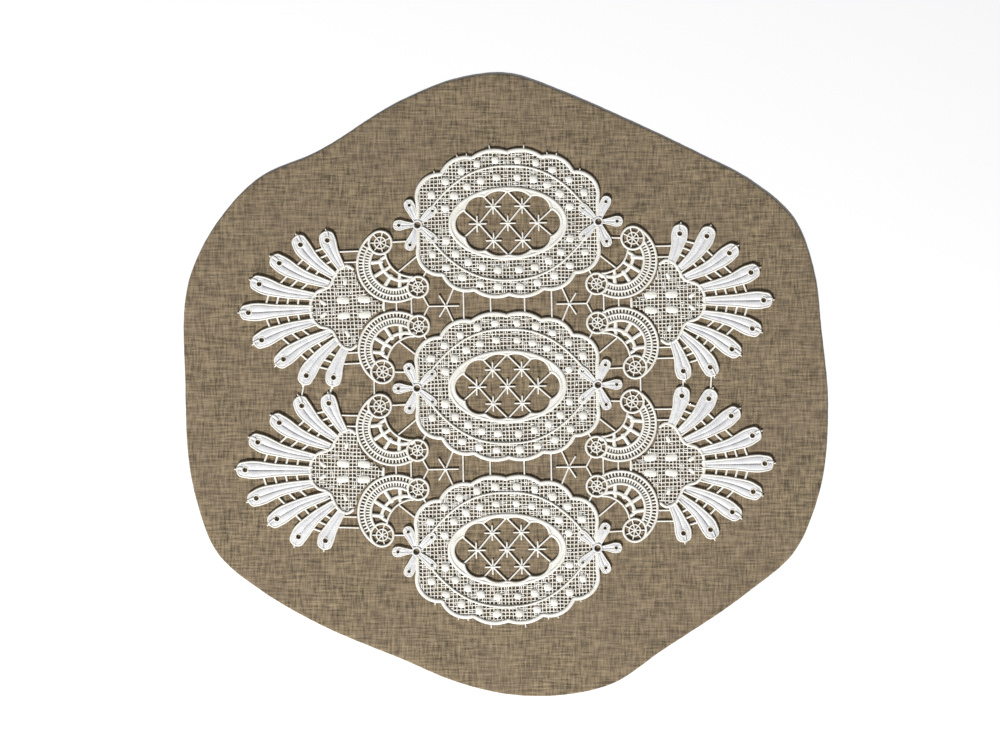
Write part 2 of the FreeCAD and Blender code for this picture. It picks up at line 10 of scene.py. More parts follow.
import bpy
import numpy as np
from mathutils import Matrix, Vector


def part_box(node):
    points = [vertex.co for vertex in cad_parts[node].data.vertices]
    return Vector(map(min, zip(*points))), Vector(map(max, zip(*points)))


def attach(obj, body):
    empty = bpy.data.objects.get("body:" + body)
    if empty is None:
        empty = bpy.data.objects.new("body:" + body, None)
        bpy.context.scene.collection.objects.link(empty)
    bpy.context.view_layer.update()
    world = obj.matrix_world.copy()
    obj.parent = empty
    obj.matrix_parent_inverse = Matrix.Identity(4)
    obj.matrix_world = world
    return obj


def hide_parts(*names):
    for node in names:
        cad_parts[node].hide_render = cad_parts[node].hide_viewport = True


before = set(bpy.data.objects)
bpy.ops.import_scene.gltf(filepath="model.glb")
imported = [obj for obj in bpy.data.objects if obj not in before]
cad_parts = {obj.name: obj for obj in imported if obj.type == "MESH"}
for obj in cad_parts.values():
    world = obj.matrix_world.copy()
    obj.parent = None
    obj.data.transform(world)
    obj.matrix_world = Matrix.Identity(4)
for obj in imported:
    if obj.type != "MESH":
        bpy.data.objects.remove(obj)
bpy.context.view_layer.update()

bl_info = {
    "name": "Lace table runner",
    "version": (1, 0, 0),
    "blender": (4, 5, 0),
    "location": "3D View > Sidebar > Runner",
    "description": "Builds a linen table runner with a guipure lace overlay around its frame",
    "category": "Add Mesh",
}

MM = 0.001


def node_middle(name):
    """The middle of a frame node's box in plan, in millimetres: the mean of its two corners."""
    low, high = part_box(name)
    return np.array([(low.x + high.x) / 2, (low.y + high.y) / 2]) / MM


ROWS = ("top", "middle", "bottom")
ROW_MIDDLES = {row: node_middle(f"{row}_ring") for row in ROWS}
PLACES = ("upper_left", "lower_left", "upper_right", "lower_right")
FAN_MIDDLES = {"upper": (ROW_MIDDLES["top"] + ROW_MIDDLES["middle"]) / 2,
               "lower": (ROW_MIDDLES["middle"] + ROW_MIDDLES["bottom"]) / 2}
LACE_AXIS = node_middle("middle_right_floret") - node_middle("middle_left_floret")
LACE_TURN = math.atan2(LACE_AXIS[1], LACE_AXIS[0])
LINEN_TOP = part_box("linen_ground")[1].z / MM
PITCH = float((ROW_MIDDLES["top"] - ROW_MIDDLES["bottom"])[1]) / 2

# The medallion, in millimetres from its own middle: half sizes of its ellipses, the corners and bulges
# of its scallops, the corners its net lies between, the cusps and bulges of the ring's opening, the
# knots' places as shares of the ring's or the medallion's half width, and the florets
MEDALLION = (48.0, 36.4)
SIDE_EDGE = (46.0, 11.0)
SCALLOP_BULGES = (2.2, 3.2, 4.9)
VALLEY_ANGLES = (68.6, 45.7)
OVAL = (44.0, 28.5)
OVAL_FULLNESS = 2.4
OVAL_REACH = 39.1
NET_PATCHES, NET_WEAVE, NET_HEIGHT = 0.55, 0.12, 0.42
MEDALLION_NET = ((-50, -41), (50, 41))
FREE_SIDES = {"top": 1, "bottom": -1}
PICOTS = ((8.5, 1.7), (20.2, 1.0), (24.7, 1.0), (36.4, 1.0))
RING = (29.8, 18.3)
RING_LIP, RING_CORD, RING_FILL_HEIGHT = 1.7, 1.8, 0.95
OPENING_CUSPS = ((21.0, 6.5), (11.3, 12.8), (0.0, 15.0))
OPENING_BULGES = (5.0, 3.0, 1.9)
STAR_PITCH, STAR_RISE, STAR_ARM = 14.5, 8.5, 4.0
KNOT_INNER_ROW = (0.17, 0.44, 0.67, 0.88, 1.04)
KNOT_OUTER_ROW = (0.115, 0.30, 0.48, 0.645, 0.79)
FLORET_X = 45.2
FLORET_MIDDLE_WIDTHS, FLORET_SIDE_WIDTHS = (1.1, 1.9, 2.7), (1.3, 2.2, 2.7)
FLORET_INNER_WIDTHS = (1.2, 2.0, 2.3)

# The fan, in millimetres from the middle between two medallions: the palmette, its net's corners and
# darned blocks (each a place, half sizes, a squareness and a turn), the petals' half widths and centre
# lines, the ladder bars' shares along them, and how each fan is turned and its petals' ends are pulled
PALMETTE_CENTRE = (84.0, 0.0)
PALMETTE_TIP = (61.0, 0.0)
PALMETTE_POINTS = ((79.5, 20.8), (83.2, 19.4), (86.0, 15.6), (88.0, 11.6), (90.4, 10.0),
                   (94.2, 8.8), (97.4, 5.4), (98.5, 0.0))
PALMETTE_NET = ((60, -22), (100, 22))
DARNED_BLOCKS = (((82.0, 3.8), (3.3, 1.9), 3.0, 0.12), ((71.5, 3.8), (3.3, 1.9), 3.0, 0.12),
                 ((92.0, 3.0), (1.9, 1.0), 2.6, 0.7), ((80.5, 13.0), (1.0, 1.9), 2.6, 0.3))
PALMETTE_CORD, PALMETTE_FREE_FROM, PALMETTE_FOOT = 1.7, 66, (61.8, 2.7)
PETAL_WIDTHS = (2.1, 3.3, 4.2)
PETAL_HOLE, FLORET_HOLE, EYELET = 1.2, 0.8, 2.05
MIDDLE_PETAL = ((99.3, 0.0), (114.0, 0.0), (129.0, 0.0), (133.5, 0.0))
SIDE_PETALS = (((98.6, 6.8), (111.5, 9.6), (123.0, 14.0), (127.2, 16.0)),
               ((90.6, 12.6), (102.0, 17.2), (112.5, 24.0), (116.6, 27.2)),
               ((87.6, 17.4), (95.2, 24.0), (101.5, 32.7), (103.4, 37.4)),
               ((82.8, 21.2), (86.0, 28.0), (88.0, 34.3), (88.6, 39.0)))
MIDDLE_LADDER, SIDE_LADDER = (0.17, 0.33, 0.49, 0.65), (0.22, 0.40, 0.58)
FAN_TURNS = {"upper_right": 0.4, "lower_right": -0.4, "upper_left": -1.5, "lower_left": 2.5}
PETAL_PULLS = {"upper_right": (-1.2, -0.3), "lower_right": (-0.4, 0.3),
               "upper_left": (0.5, -0.2), "lower_left": (1.9, -0.4)}

# The scroll, in the fan's frame: its arcs, its heads' middles and radii, its cords' radii and widths,
# the angles of its filling's bars, and the bars from it to the outermost petals
SCROLL_CENTRE, SCROLL_RADIUS = (56.0, 21.3), 19.3
SCROLL_MIDDLE_RADIUS, SCROLL_INNER_RADIUS = 15.6, 12.5
SCROLL_SWEEP = (226.0, 418.0)
OUTER_HEAD, INNER_HEAD = ((63.08, 32.2), 6.3), ((44.65, 9.75), 5.8)
THIN_ARC_CENTRE, THIN_ARC_RADIUS, THIN_ARC_SWEEP = (47.0, 28.5), 13.2, (-90.0, 10.0)
SCROLL_CORDS = ((SCROLL_RADIUS - 0.65, 1.4), (SCROLL_MIDDLE_RADIUS, 1.2), (SCROLL_INNER_RADIUS, 1.5))
SCROLL_RUNG_STEP, HEAD_SPOKES, HEAD_LOOP_SHARE = 5.6, 7, 0.52
FILLING_ROW_SWEEP, FILLING_ROW_SHARE = (-134, 4), 0.42
FILLING_OUTER_BARS, FILLING_INNER_BARS = (-136, -100, -64, -30, 4), (-86, -61, -36, -13)
FAN_EDGE_BARS = ((28.0, 84.6), (22.6, 82.3))

# Ties between the motifs: a star's middle, fork and arms, the places of the bars, and how deep their
# ends sit in an edge and in a head
STAR_TIE_MIDDLE, STAR_TIE_FORK, STAR_TIE_START = (30.8, 0.0), (39.5, 0.0), (24.2, 0.0)
STAR_TIE_EDGE_X, STAR_TIE_FREE_ARM = 26.6, (34.3, 5.5)
MEDALLION_TIE_PLACES = (-22.0, -8.5, 8.5, 22.0)
SCROLL_TIE_PLACES = (48.0, 55.5)
FAN_TIE_X = 66.5
ARC_TIE_ANGLE = -56.4
EDGE_SEAT, HEAD_SEAT = 0.9, 0.6

# The linen, in millimetres: the rise of its waves and the depth of their lowest point, its outline's
# step, the number of its rings and its half size
DRAPE_RISE, DRAPE_BOTTOM = 0.09, 2.4
OUTLINE_STEP, LINEN_RINGS, LINEN_HALF = 2.4, 62, 150

# The stage, in metres and degrees
FLOOR_REACH, FLOOR_DROP = 4.0, 0.0002
KEY_SIZE, KEY_PLACE, KEY_TURN = 0.3, (-0.84, -2.40, 2.10), (50.0, 0.0, -19.0)
LENS, FILM, VIEW_MIDDLE = 85.0, 36.0, (-0.00275, 0.0049)

# The linen's cut outline, as shares of its half width and half length
LINEN_SHAPE = ((1.00, -0.07), (0.98, 0.17), (0.957, 0.36), (0.894, 0.53), (0.757, 0.655),
               (0.60, 0.74), (0.31, 0.88), (0.16, 0.945), (0.00, 0.997), (-0.168, 0.977),
               (-0.323, 0.913), (-0.602, 0.74), (-0.77, 0.662), (-0.894, 0.53), (-0.98, 0.365),
               (-1.00, 0.00), (-0.966, -0.367), (-0.90, -0.54), (-0.762, -0.662), (-0.609, -0.755),
               (-0.311, -0.887), (-0.161, -0.952), (0.00, -0.993), (0.168, -0.997), (0.334, -0.958),
               (0.475, -0.86), (0.757, -0.662), (0.894, -0.54), (0.968, -0.369))


# Plan curves


def lengths_along(path):
    """How far along a path each of its points is: the running sum of its steps' lengths."""
    return np.concatenate([[0.0], np.cumsum(np.hypot(*np.diff(path, axis=0).T))])


def lengths_around(ring):
    """How far around a closed path each of its points is."""
    return lengths_along(np.vstack([ring, ring[:1]]))[:-1]


def distances(points, places):
    """How far each point is from a place, or from its own place."""
    return np.hypot(*(points - np.asarray(places)).T)


def placed(path, run, at):
    """The points at places along a path, from how far along it its own points are."""
    return np.column_stack([np.interp(at, run, path[:, axis]) for axis in (0, 1)])


def heading(start, end):
    """The unit direction from one point to another."""
    return (np.asarray(end) - np.asarray(start)) / math.dist(start, end)


def ribbing(run, depth, pitch):
    """One less half the ribs' depth times one less the cosine of the place along over their pitch."""
    return 1 - depth * (0.5 - 0.5 * np.cos(2 * math.pi * run / pitch))


def through(points, closed=False, fine=10):
    """A smooth path through points: on each span a cubic whose end slopes are the neighbouring
    chords' directions, weighted by the other chord's length."""
    p = np.asarray(points, float)
    if closed:
        p = np.vstack([p, p[:1]])
    chord = np.diff(p, axis=0)
    size = np.hypot(*chord.T)
    way = chord / size[:, None]
    if closed:
        before, behind = np.vstack([way[-1:], way]), np.append(size[-1], size)
        after, ahead = np.vstack([way, way[:1]]), np.append(size, size[0])
    else:
        before, behind = np.vstack([way[:1], way]), np.append(size[0], size)
        after, ahead = np.vstack([way, way[-1:]]), np.append(size, size[-1])
    slope = (before * ahead[:, None] + after * behind[:, None]) / (ahead + behind)[:, None]
    u = np.linspace(0, 1, fine, endpoint=False)[None, :, None]
    s = size[:, None, None]
    path = ((2 * u**3 - 3 * u**2 + 1) * p[:-1, None] + (u**3 - 2 * u**2 + u) * s * slope[:-1, None]
            + (3 * u**2 - 2 * u**3) * p[1:, None] + (u**3 - u**2) * s * slope[1:, None])
    return np.vstack([path.reshape(-1, 2), p[-1:]])


def even(path, step, ends=False):
    """The path again at even steps of length, with closer stations at its ends when they are rounded."""
    run = lengths_along(path)
    count = max(3, int(round(run[-1] / step)))
    at = np.linspace(0, run[-1], count + 1)
    if ends:
        near = np.array([0.06, 0.2, 0.45]) * step
        at = np.concatenate([[0.0], near, at[1:-1], run[-1] - near[::-1], [run[-1]]])
    return placed(path, run, at)


def leftward(path, closed=False):
    """The unit direction square to the path, to its left, from the neighbours of each point."""
    if closed:
        step = np.roll(path, -1, 0) - np.roll(path, 1, 0)
    else:
        step = np.gradient(path, axis=0)
    size = np.maximum(np.hypot(step[:, 0], step[:, 1]), 1e-9)
    return np.column_stack([-step[:, 1], step[:, 0]]) / size[:, None]


def arc(centre, radius, start, end, step=0.5):
    """Points on a circle between two angles in degrees, an even step of length apart."""
    count = max(4, int(abs(math.radians(end - start)) * radius / step))
    turn = np.radians(np.linspace(start, end, count + 1))
    return np.column_stack([centre[0] + radius * np.cos(turn), centre[1] + radius * np.sin(turn)])


def on_circle(centre, radius, angle):
    """The point of a circle at an angle in degrees."""
    turn = math.radians(angle)
    return np.array([centre[0] + radius * math.cos(turn), centre[1] + radius * math.sin(turn)])


def scallops(points, bulges, step):
    """Arcs between the points, each bulging to the right of its run, and the way out at each point.
    An arc's half angle is twice the arctangent of bulge over half the chord."""
    paths, ways = [], []
    for p, q, bulge in zip(points, np.roll(points, -1, 0), bulges):
        chord = math.dist(p, q)
        forth = (q - p) / chord
        right = np.array([forth[1], -forth[0]])
        share = np.linspace(0, 1, max(3, int(round(chord / step))) + 1)[:, None]
        if bulge == 0:
            paths.append(p + (q - p) * share)
            ways.append(np.repeat(right[None], len(share), 0))
            continue
        half = 2 * math.atan(2 * bulge / chord)
        radius = chord / (2 * math.sin(half))
        turn = (2 * share - 1) * half
        way = right * np.cos(turn) + forth * np.sin(turn)
        paths.append((p + q) / 2 + right * (bulge - radius) + radius * way)
        ways.append(way)
    return np.vstack(paths), np.vstack(ways)


def inside(points, outline):
    """Whether each point is inside a closed outline: a ray to its right crosses it an odd number of times."""
    x, y = points[:, :1], points[:, 1:]
    x0, y0 = outline.T
    x1, y1 = np.roll(outline, -1, 0).T
    rise = np.where(y1 == y0, 1e-12, y1 - y0)
    crosses = ((y0 > y) != (y1 > y)) & (x < x0 + (y - y0) / rise * (x1 - x0))
    return crosses.sum(1) % 2 == 1


def stretches(keep):
    """Where each stretch of points that pass a test starts, and where it has ended."""
    edges = np.flatnonzero(np.diff(np.concatenate([[0], keep.astype(int), [0]])))
    return zip(edges[::2], edges[1::2])


def mirrored_sides(upper):
    """A closed run anticlockwise from its quarter, mirrored to the left and then below."""
    left = [(-x, y) for x, y in reversed(upper[:-1])]
    over = list(upper) + left
    return np.array(over + [(-x, -y) for x, y in over])


def ellipse_height(x, halves):
    """An ellipse above its axis: the half height times the root of one less the square share."""
    return halves[1] * np.sqrt(np.maximum(0, 1 - (np.asarray(x) / halves[0]) ** 2))


def valley_height(x):
    """The ellipse through the scallops' valleys, above the axis."""
    return ellipse_height(x, MEDALLION)


def oval_height(x):
    """The pointed oval above the axis: its half height times one less a power of the share."""
    return OVAL[1] * (1 - np.minimum(1, np.abs(x) / OVAL[0]) ** OVAL_FULLNESS)


def ring_height(x):
    """The ring's ellipse above the axis."""
    return ellipse_height(x, RING)


def scalloped_outline(step=0.3):
    """The medallion's outer edge and the way out at each of its points."""
    quarter = [SIDE_EDGE]
    for angle in reversed(VALLEY_ANGLES):
        x = MEDALLION[0] * math.cos(math.radians(angle))
        quarter.append((x, float(valley_height(x))))
    quarter.append((0.0, MEDALLION[1]))
    rising = list(reversed(SCALLOP_BULGES))
    half = rising + rising[::-1] + [0]
    return scallops(mirrored_sides(quarter), half + half, step)


def opening_outline(step=0.35):
    """The ten-lobed opening of the ring and the way out at each of its points."""
    right, slanted, top = OPENING_BULGES
    half = [slanted, top, top, slanted, right]
    return scallops(mirrored_sides(list(OPENING_CUSPS)), half + half, step)


# Surfaces


def drape(x, y):
    """How far the cloth lifts off the table: three slow waves across it, never below nought."""
    wave = (np.sin(x / 23 + y / 61) + 0.8 * np.sin(y / 19 - x / 47 + 1.1)
            + 0.6 * np.sin((x + y) / 13 + 2.3))
    return DRAPE_RISE * (wave + DRAPE_BOTTOM)


def ring_faces(rings, sides, closed=False):
    """The faces of four between rings of points that are numbered ring by ring."""
    i, k = np.arange(rings if closed else rings - 1)[:, None] * sides, np.arange(sides)[None, :]
    j, m = (i + sides) % (rings * sides), (k + 1) % sides
    return np.stack([i + k, j + k, j + m, i + m], 2).reshape(-1, 4)


def pole_faces(rings, sides):
    """The triangles from the first and last rings to two poles, which are numbered after the rings."""
    k, last, pole = np.arange(sides), (rings - 1) * sides, np.full(sides, rings * sides)
    m = (k + 1) % sides
    return np.vstack([np.stack([pole, k, m, m], 1), np.stack([pole + 1, last + m, last + k, last + k], 1)])


class Work:
    """The surfaces of one piece as they are made, in its motif's frame, and where they are set down."""

    def __init__(self, origin, mirror=False, turn=0.0, flip=False, rng=None):
        self.origin, self.mirror, self.turn, self.flip, self.rng = origin, mirror, turn, flip, rng
        self.points, self.faces, self.stitches, self.inks = [], [], [], []
        self.count, self.ink = 0, 0

    def moved(self, **new):
        """The same piece with its next surfaces set down, turned or flipped another way."""
        for name, value in new.items():
            setattr(self, name, value)
        return self

    def carried(self, points):
        """Points turned about the palmette, mirrored, turned with the lace and shifted to the motif's
        middle, then lifted with the cloth."""
        x, y, z = points.T
        cx, cy = PALMETTE_CENTRE
        c, s = math.cos(self.turn), math.sin(self.turn)
        x, y = cx + (x - cx) * c - (y - cy) * s, cy + (x - cx) * s + (y - cy) * c
        y = -y if self.flip else y
        x = -x if self.mirror else x
        c, s = math.cos(LACE_TURN), math.sin(LACE_TURN)
        x, y = self.origin[0] + x * c - y * s, self.origin[1] + x * s + y * c
        return np.column_stack([x, y, z + drape(x, y)])

    def add(self, points, faces, stitches):
        """Adds a surface: its points, its faces of four (a triangle repeats its last), and each
        corner's place along and around the cord."""
        if self.mirror != self.flip:
            faces, stitches = faces[:, ::-1], stitches[:, ::-1]
        self.points.append(self.carried(points))
        self.faces.append(faces + self.count)
        self.stitches.append(stitches)
        self.inks.append(np.full(len(faces), self.ink))
        self.count += len(points)

    def roll(self, left, right, height, base, closed=False, sides=8):
        """A stitched cord between two edges. At the angle t its section is the edges' middle plus
        cosine t times half their distance, at the base plus (1 + sine t) / 2 times the height.
        Open ends close at a pole."""
        n = len(left)
        angle = np.arange(sides) * 2 * math.pi / sides + math.pi / sides
        mid, half = (left + right) / 2, (left - right) / 2
        flat = mid[:, None] + half[:, None] * np.cos(angle)[None, :, None]
        base, height = (np.broadcast_to(np.asarray(level, float), (n,))[:, None] for level in (base, height))
        high = base + height * (1 + np.sin(angle)) / 2
        points = np.concatenate([flat, high[..., None]], 2).reshape(-1, 3)
        faces = ring_faces(n, sides, closed)[:, [0, 3, 2, 1]]
        run = lengths_along(np.vstack([mid, mid[:1]]) if closed else mid)
        i, k = np.broadcast_arrays(np.arange(len(run) - 1)[:, None], np.arange(sides))
        along = np.stack([run[i], run[i], run[i + 1], run[i + 1]], 2)
        around = np.stack([k, k + 1, k + 1, k], 2) / sides
        stitches = np.stack([along, around], 3).reshape(-1, 4, 2)
        if not closed:
            caps = np.zeros((2 * sides, 4, 2))
            caps[sides:, :, 0] = run[-1]
            points = np.vstack([points, points.reshape(n, sides, 3)[[0, -1]].mean(1)])
            faces = np.vstack([faces, pole_faces(n, sides)[:, [0, 2, 1, 1]]])
            stitches = np.vstack([stitches, caps])
        self.add(points, faces, stitches)

    def cord(self, path, width, height, base, closed=False, sides=7, step=0.35, ribs=0.8, depth=0.14,
             keep=None):
        """A cord of a width along a path. Its width and height dip by its ribbing, and shrink at open
        ends as a circle does. With a test to keep by, only the stretches of the path that pass it, of
        four points or more, are made."""
        if keep is not None:
            path = even(np.asarray(path, float), step)
            for first, last in stretches(keep(path)):
                if last - first > 3:
                    self.cord(path[first:last], width, height, base, False, sides, step, ribs, depth)
            return
        path = even(np.asarray(path, float), step, not closed)
        if closed:
            path = path[:-1]
        run = lengths_along(path)
        swell = ribbing(run, depth, ribs)
        round_off = np.ones(len(path))
        if not closed:
            short = np.minimum(1, np.minimum(run, run[-1] - run) / (width / 2))
            round_off = np.sqrt(np.maximum(0.02, 1 - (1 - short) ** 2))
        side = leftward(path, closed) * (width / 2 * round_off * (0.6 + 0.4 * swell))[:, None]
        tall = height * swell * (0.35 + 0.65 * round_off)
        self.roll(path + side, path - side, tall, base + (height - tall) * 0.3, closed, sides)

    def bar(self, start, end, width, height, base, sides=6):
        """A straight cord between two points."""
        self.cord([start, end], width, height, base, sides=sides, step=0.45, ribs=1.0, depth=0.2)

    def pad(self, centre, radii, height, base, square=2.6, turn=0.0, rings=7, sides=20):
        """A raised pad: its outline is a squarish ellipse, and its height falls from the middle as one
        less the cube of the share outward. Its underside is a second, flat cap."""
        over, under = np.linspace(0.12, 1, rings), np.linspace(0.9, 0.2, 3)
        share = np.concatenate([over, under])
        angle = np.arange(sides) * 2 * math.pi / sides
        c, s = np.cos(angle), np.sin(angle)
        reach = (np.abs(c) ** square + np.abs(s) ** square) ** (-1 / square)
        x, y = radii[0] * reach * c, radii[1] * reach * s
        c, s = math.cos(turn), math.sin(turn)
        x, y = x * c - y * s, x * s + y * c
        rise = np.concatenate([height * (1 - over ** 3) * 0.75 + height * 0.25, np.zeros(len(under))])
        ribbed = 1 + 0.10 * np.cos(2 * math.pi * np.outer(share, y) / 0.9)
        points = np.stack([centre[0] + np.outer(share, x), centre[1] + np.outer(share, y),
                           base + rise[:, None] * ribbed], 2).reshape(-1, 3)
        points = np.vstack([points, [[*centre, base + height]], [[*centre, base]]])
        faces = np.vstack([ring_faces(len(share), sides), pole_faces(len(share), sides)])
        self.add(points, faces, points[faces][..., :2].copy())

    def net(self, region, low, high, lace, base):
        """A darned net: threads along both directions at an even pitch, each kept where the region
        holds it. Their paths sway by two slow waves, they ride over and under each other by turns, and
        short runs of a second thread between them close some of the squares."""
        half_pitch, rng = lace.net_pitch / 2, self.rng
        for axis in (0, 1):
            start, stop = low[1 - axis], high[1 - axis]
            for number, level in enumerate(np.arange(start + half_pitch / 2, stop, half_pitch)):
                along = np.arange(low[axis], high[axis], half_pitch)
                sway = 0.22 * np.sin(along / 5.3 + level / 3.1 + axis)
                across = level + sway + rng.normal(0, 0.05, len(along))
                path = np.column_stack([along, across] if axis == 0 else [across, along])
                keep = region(path)
                if number % 2:
                    patch = np.sin(along / 2.6 + 2.1 * level + axis) * np.sin(level / 2.3 + along / 7.1 + 1.3)
                    keep &= patch + rng.normal(0, 0.25, len(along)) > NET_PATCHES
                for first, last in stretches(keep):
                    if last - first < 3:
                        continue
                    run = path[first:last]
                    thick = lace.net_thread * rng.uniform(0.78, 1.15) * rng.uniform(0.85, 1.15, len(run))
                    side = leftward(run) * thick[:, None] / 2
                    weave = NET_WEAVE * np.cos(math.pi * (np.arange(len(run)) + number))
                    self.roll(run + side, run - side, NET_HEIGHT, base + NET_WEAVE + weave, sides=4)

    def piece(self, node, slot, lace):
        """The finished piece of lace in its node's stead, with plain cord where its ink is one."""
        return finished(f"{node}_work", np.vstack(self.points), np.vstack(self.faces),
                        np.vstack(self.stitches), node,
                        [lace_material(slot, lace), lace_material("lace_cords", lace)],
                        np.concatenate(self.inks))


def finished(name, points, faces, stitches, node, materials, inks=None):
    """A smooth mesh object from points in millimetres and faces of four, where a triangle repeats its
    last corner. It rides on the frame in place of its node."""
    kept = faces != np.roll(faces, 1, 1)
    sizes = kept.sum(1)
    mesh = bpy.data.meshes.new(name)
    mesh.vertices.add(len(points))
    mesh.vertices.foreach_set("co", (points * MM).astype(np.float32).ravel())
    mesh.loops.add(int(sizes.sum()))
    mesh.loops.foreach_set("vertex_index", faces[kept].astype(np.int32))
    mesh.polygons.add(len(faces))
    mesh.polygons.foreach_set("loop_start", (np.cumsum(sizes) - sizes).astype(np.int32))
    mesh.polygons.foreach_set("loop_total", sizes.astype(np.int32))
    mesh.polygons.foreach_set("use_smooth", np.ones(len(faces), bool))
    if inks is not None:
        mesh.polygons.foreach_set("material_index", inks.astype(np.int32))
    layer = mesh.uv_layers.new(name="stitches")
    layer.data.foreach_set("uv", stitches[kept].astype(np.float32).ravel())
    mesh.update(calc_edges=True)
    mesh.validate()
    piece = bpy.data.objects.new(name, mesh)
    bpy.context.scene.collection.objects.link(piece)
    for material in materials:
        mesh.materials.append(material)
    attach(piece, "root")
    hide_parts(node)
    return piece


# Materials


class Finish:
    """A new material: its shader, and the nodes that feed it."""

    def __init__(self, name):
        self.material = bpy.data.materials.new(name)
        self.material.use_nodes = True
        self.tree = self.material.node_tree
        self.shader = self.tree.nodes["Principled BSDF"]
        self.where = self.add("ShaderNodeTexCoord").outputs["Object"]

    def feed(self, node, values):
        """Links sockets of a node to other nodes' outputs, or sets them."""
        for socket, value in values:
            if isinstance(value, bpy.types.NodeSocket):
                self.tree.links.new(value, node.inputs[socket])
            else:
                node.inputs[socket].default_value = value

    def add(self, kind, values=(), **traits):
        """A node with its traits and sockets set."""
        node = self.tree.nodes.new(kind)
        for trait, value in traits.items():
            setattr(node, trait, value)
        self.feed(node, values)
        return node

    def sum(self, operation, *values):
        """The outcome of one step of arithmetic."""
        return self.add("ShaderNodeMath", enumerate(values), operation=operation).outputs[0]

    def spread(self, value, *ends):
        """A value carried evenly from its low and high ends to nought and one, or to two other ends."""
        return self.add("ShaderNodeMapRange", [(0, value), *enumerate(ends, 1)]).outputs[0]

    def noise(self, scale, detail, where=None, roughness=0.5):
        """Noise over the piece, or over another place."""
        values = [("Vector", self.where if where is None else where), ("Scale", scale), ("Detail", detail),
                  ("Roughness", roughness)]
        return self.add("ShaderNodeTexNoise", values).outputs[0]

    def mix(self, share, low, high):
        """A number between two others."""
        return self.add("ShaderNodeMix", [(0, share), (2, low), (3, high)]).outputs[0]

    def blend(self, share, low, high):
        """A colour between two others."""
        return self.add("ShaderNodeMix", [(0, share), (6, low), (7, high)], data_type="RGBA").outputs[2]

    def dress(self, colour, relief, distance, strength, uniform):
        """Gives the shader its colour, its relief and its uniform values."""
        values = [("Height", relief), ("Distance", distance), ("Strength", strength)]
        bump = self.add("ShaderNodeBump", values)
        self.feed(self.shader, [("Base Color", colour), ("Normal", bump.outputs[0]), *uniform.items()])
        return self.material


def thread_material(name, light, dark, roughness, pitch, depth):
    """Stitched thread: a ridge for every thread across the cord, the sine of its place along over the
    pitch, fine fibres, and a slow change between a lighter and a darker thread. The ridge also paints
    shade into the colour: darker in the grooves between the threads, lighter on their crests."""
    finish = Finish(name)
    places = finish.add("ShaderNodeUVMap", uv_map="stitches").outputs[0]
    along = finish.add("ShaderNodeSeparateXYZ", [(0, places)]).outputs[0]
    ridge = finish.sum("SINE", finish.sum("MULTIPLY", along, 2 * math.pi / pitch))
    relief = finish.sum("ADD", finish.sum("MULTIPLY", ridge, 0.5), finish.noise(2600.0, 3.0))
    # Random thread tone plus painted shade: the ridge darkens the grooves between threads and lightens their
    # crests
    tone_and_painted_shade = finish.sum("ADD", finish.noise(260.0, 4.0), finish.spread(ridge, -1.0, 1.0, -0.12, 0.12))
    colour = finish.blend(finish.spread(tone_and_painted_shade, 0.3, 0.62), (*dark, 1.0), (*light, 1.0))
    return finish.dress(colour, relief, 0.0002, depth, {
        "Roughness": roughness, "Sheen Weight": 0.35, "Sheen Roughness": 0.5, "Specular IOR Level": 0.3})


def linen_material(linen):
    """Plain woven linen. Warp and weft are sines of x and y over the thread pitch, each on top by turns.
    Slubs are noise drawn out along each thread's run, and tint the thread darker or lighter."""
    finish = Finish("woven_linen")
    split = finish.add("ShaderNodeSeparateXYZ", [(0, finish.where)])
    waves = [finish.sum("SINE", finish.sum("MULTIPLY", split.outputs[axis], math.pi / linen.thread_pitch))
             for axis in (0, 1)]
    upper = finish.spread(finish.sum("MULTIPLY", *waves), -0.25, 0.25)
    weave = finish.mix(upper, *[finish.sum("ABSOLUTE", wave) for wave in waves])
    slubs = []
    for scale in ((1150.0, 150.0, 300.0), (110.0, 1150.0, 300.0)):
        drawn = finish.add("ShaderNodeMapping", [("Vector", finish.where), ("Scale", scale)])
        slubs.append(finish.noise(1.0, 3.0, drawn.outputs[0], 0.6))
    mean = finish.sum("MULTIPLY", finish.sum("ADD", *slubs), 0.5)
    streak = finish.mix(0.45, mean, finish.mix(upper, *slubs))
    thread = finish.blend(finish.spread(streak, 0.37, 0.64), (*linen.dark, 1.0), (*linen.light, 1.0))
    tint = finish.spread(finish.noise(22.0, 3.0), 0.3, 0.7, 0.0, 0.35)
    colour = finish.blend(tint, thread, (*linen.tint, 1.0))
    relief = finish.sum("ADD", finish.sum("ADD", weave, finish.noise(4200.0, 2.0)), streak)
    return finish.dress(colour, relief, 0.00022, 0.7, {
        "Roughness": 0.88, "Sheen Weight": 0.15, "Specular IOR Level": 0.25})


LACE_MATERIALS = {}


def lace_material(slot, lace):
    """The thread material of a record slot, made when it is first asked for. Its values are its
    name, its two colours, its roughness, its thread pitch in millimetres and its relief."""
    if slot not in LACE_MATERIALS:
        # Each thread's second colour is a darker thread and also the painted shade in the grooves between its
        # threads
        light, dark, satin, satin_dark_and_painted_shade = lace.cotton, lace.cotton_dark_and_painted_shade, lace.satin, lace.satin_dark_and_painted_shade
        made = {
            "lace_cords": ("corded_cotton", light, dark, 0.72, 0.42, 0.5),
            "lace_satin": ("satin_stitch_cotton", satin, satin_dark_and_painted_shade, 0.5, 0.36, 0.6),
            "lace_net": ("net_cotton", light, dark, 0.8, 0.5, 0.4),
            "lace_knots": ("padded_cotton", light, dark, 0.65, 0.45, 0.5),
            "lace_bars": ("bar_cotton", light, dark, 0.75, 0.6, 0.5),
            "tacking_thread": ("tacking_thread", light, satin_dark_and_painted_shade, 0.55, 0.25, 0.5),
        }
        LACE_MATERIALS[slot] = thread_material(*made[slot])
    return LACE_MATERIALS[slot]


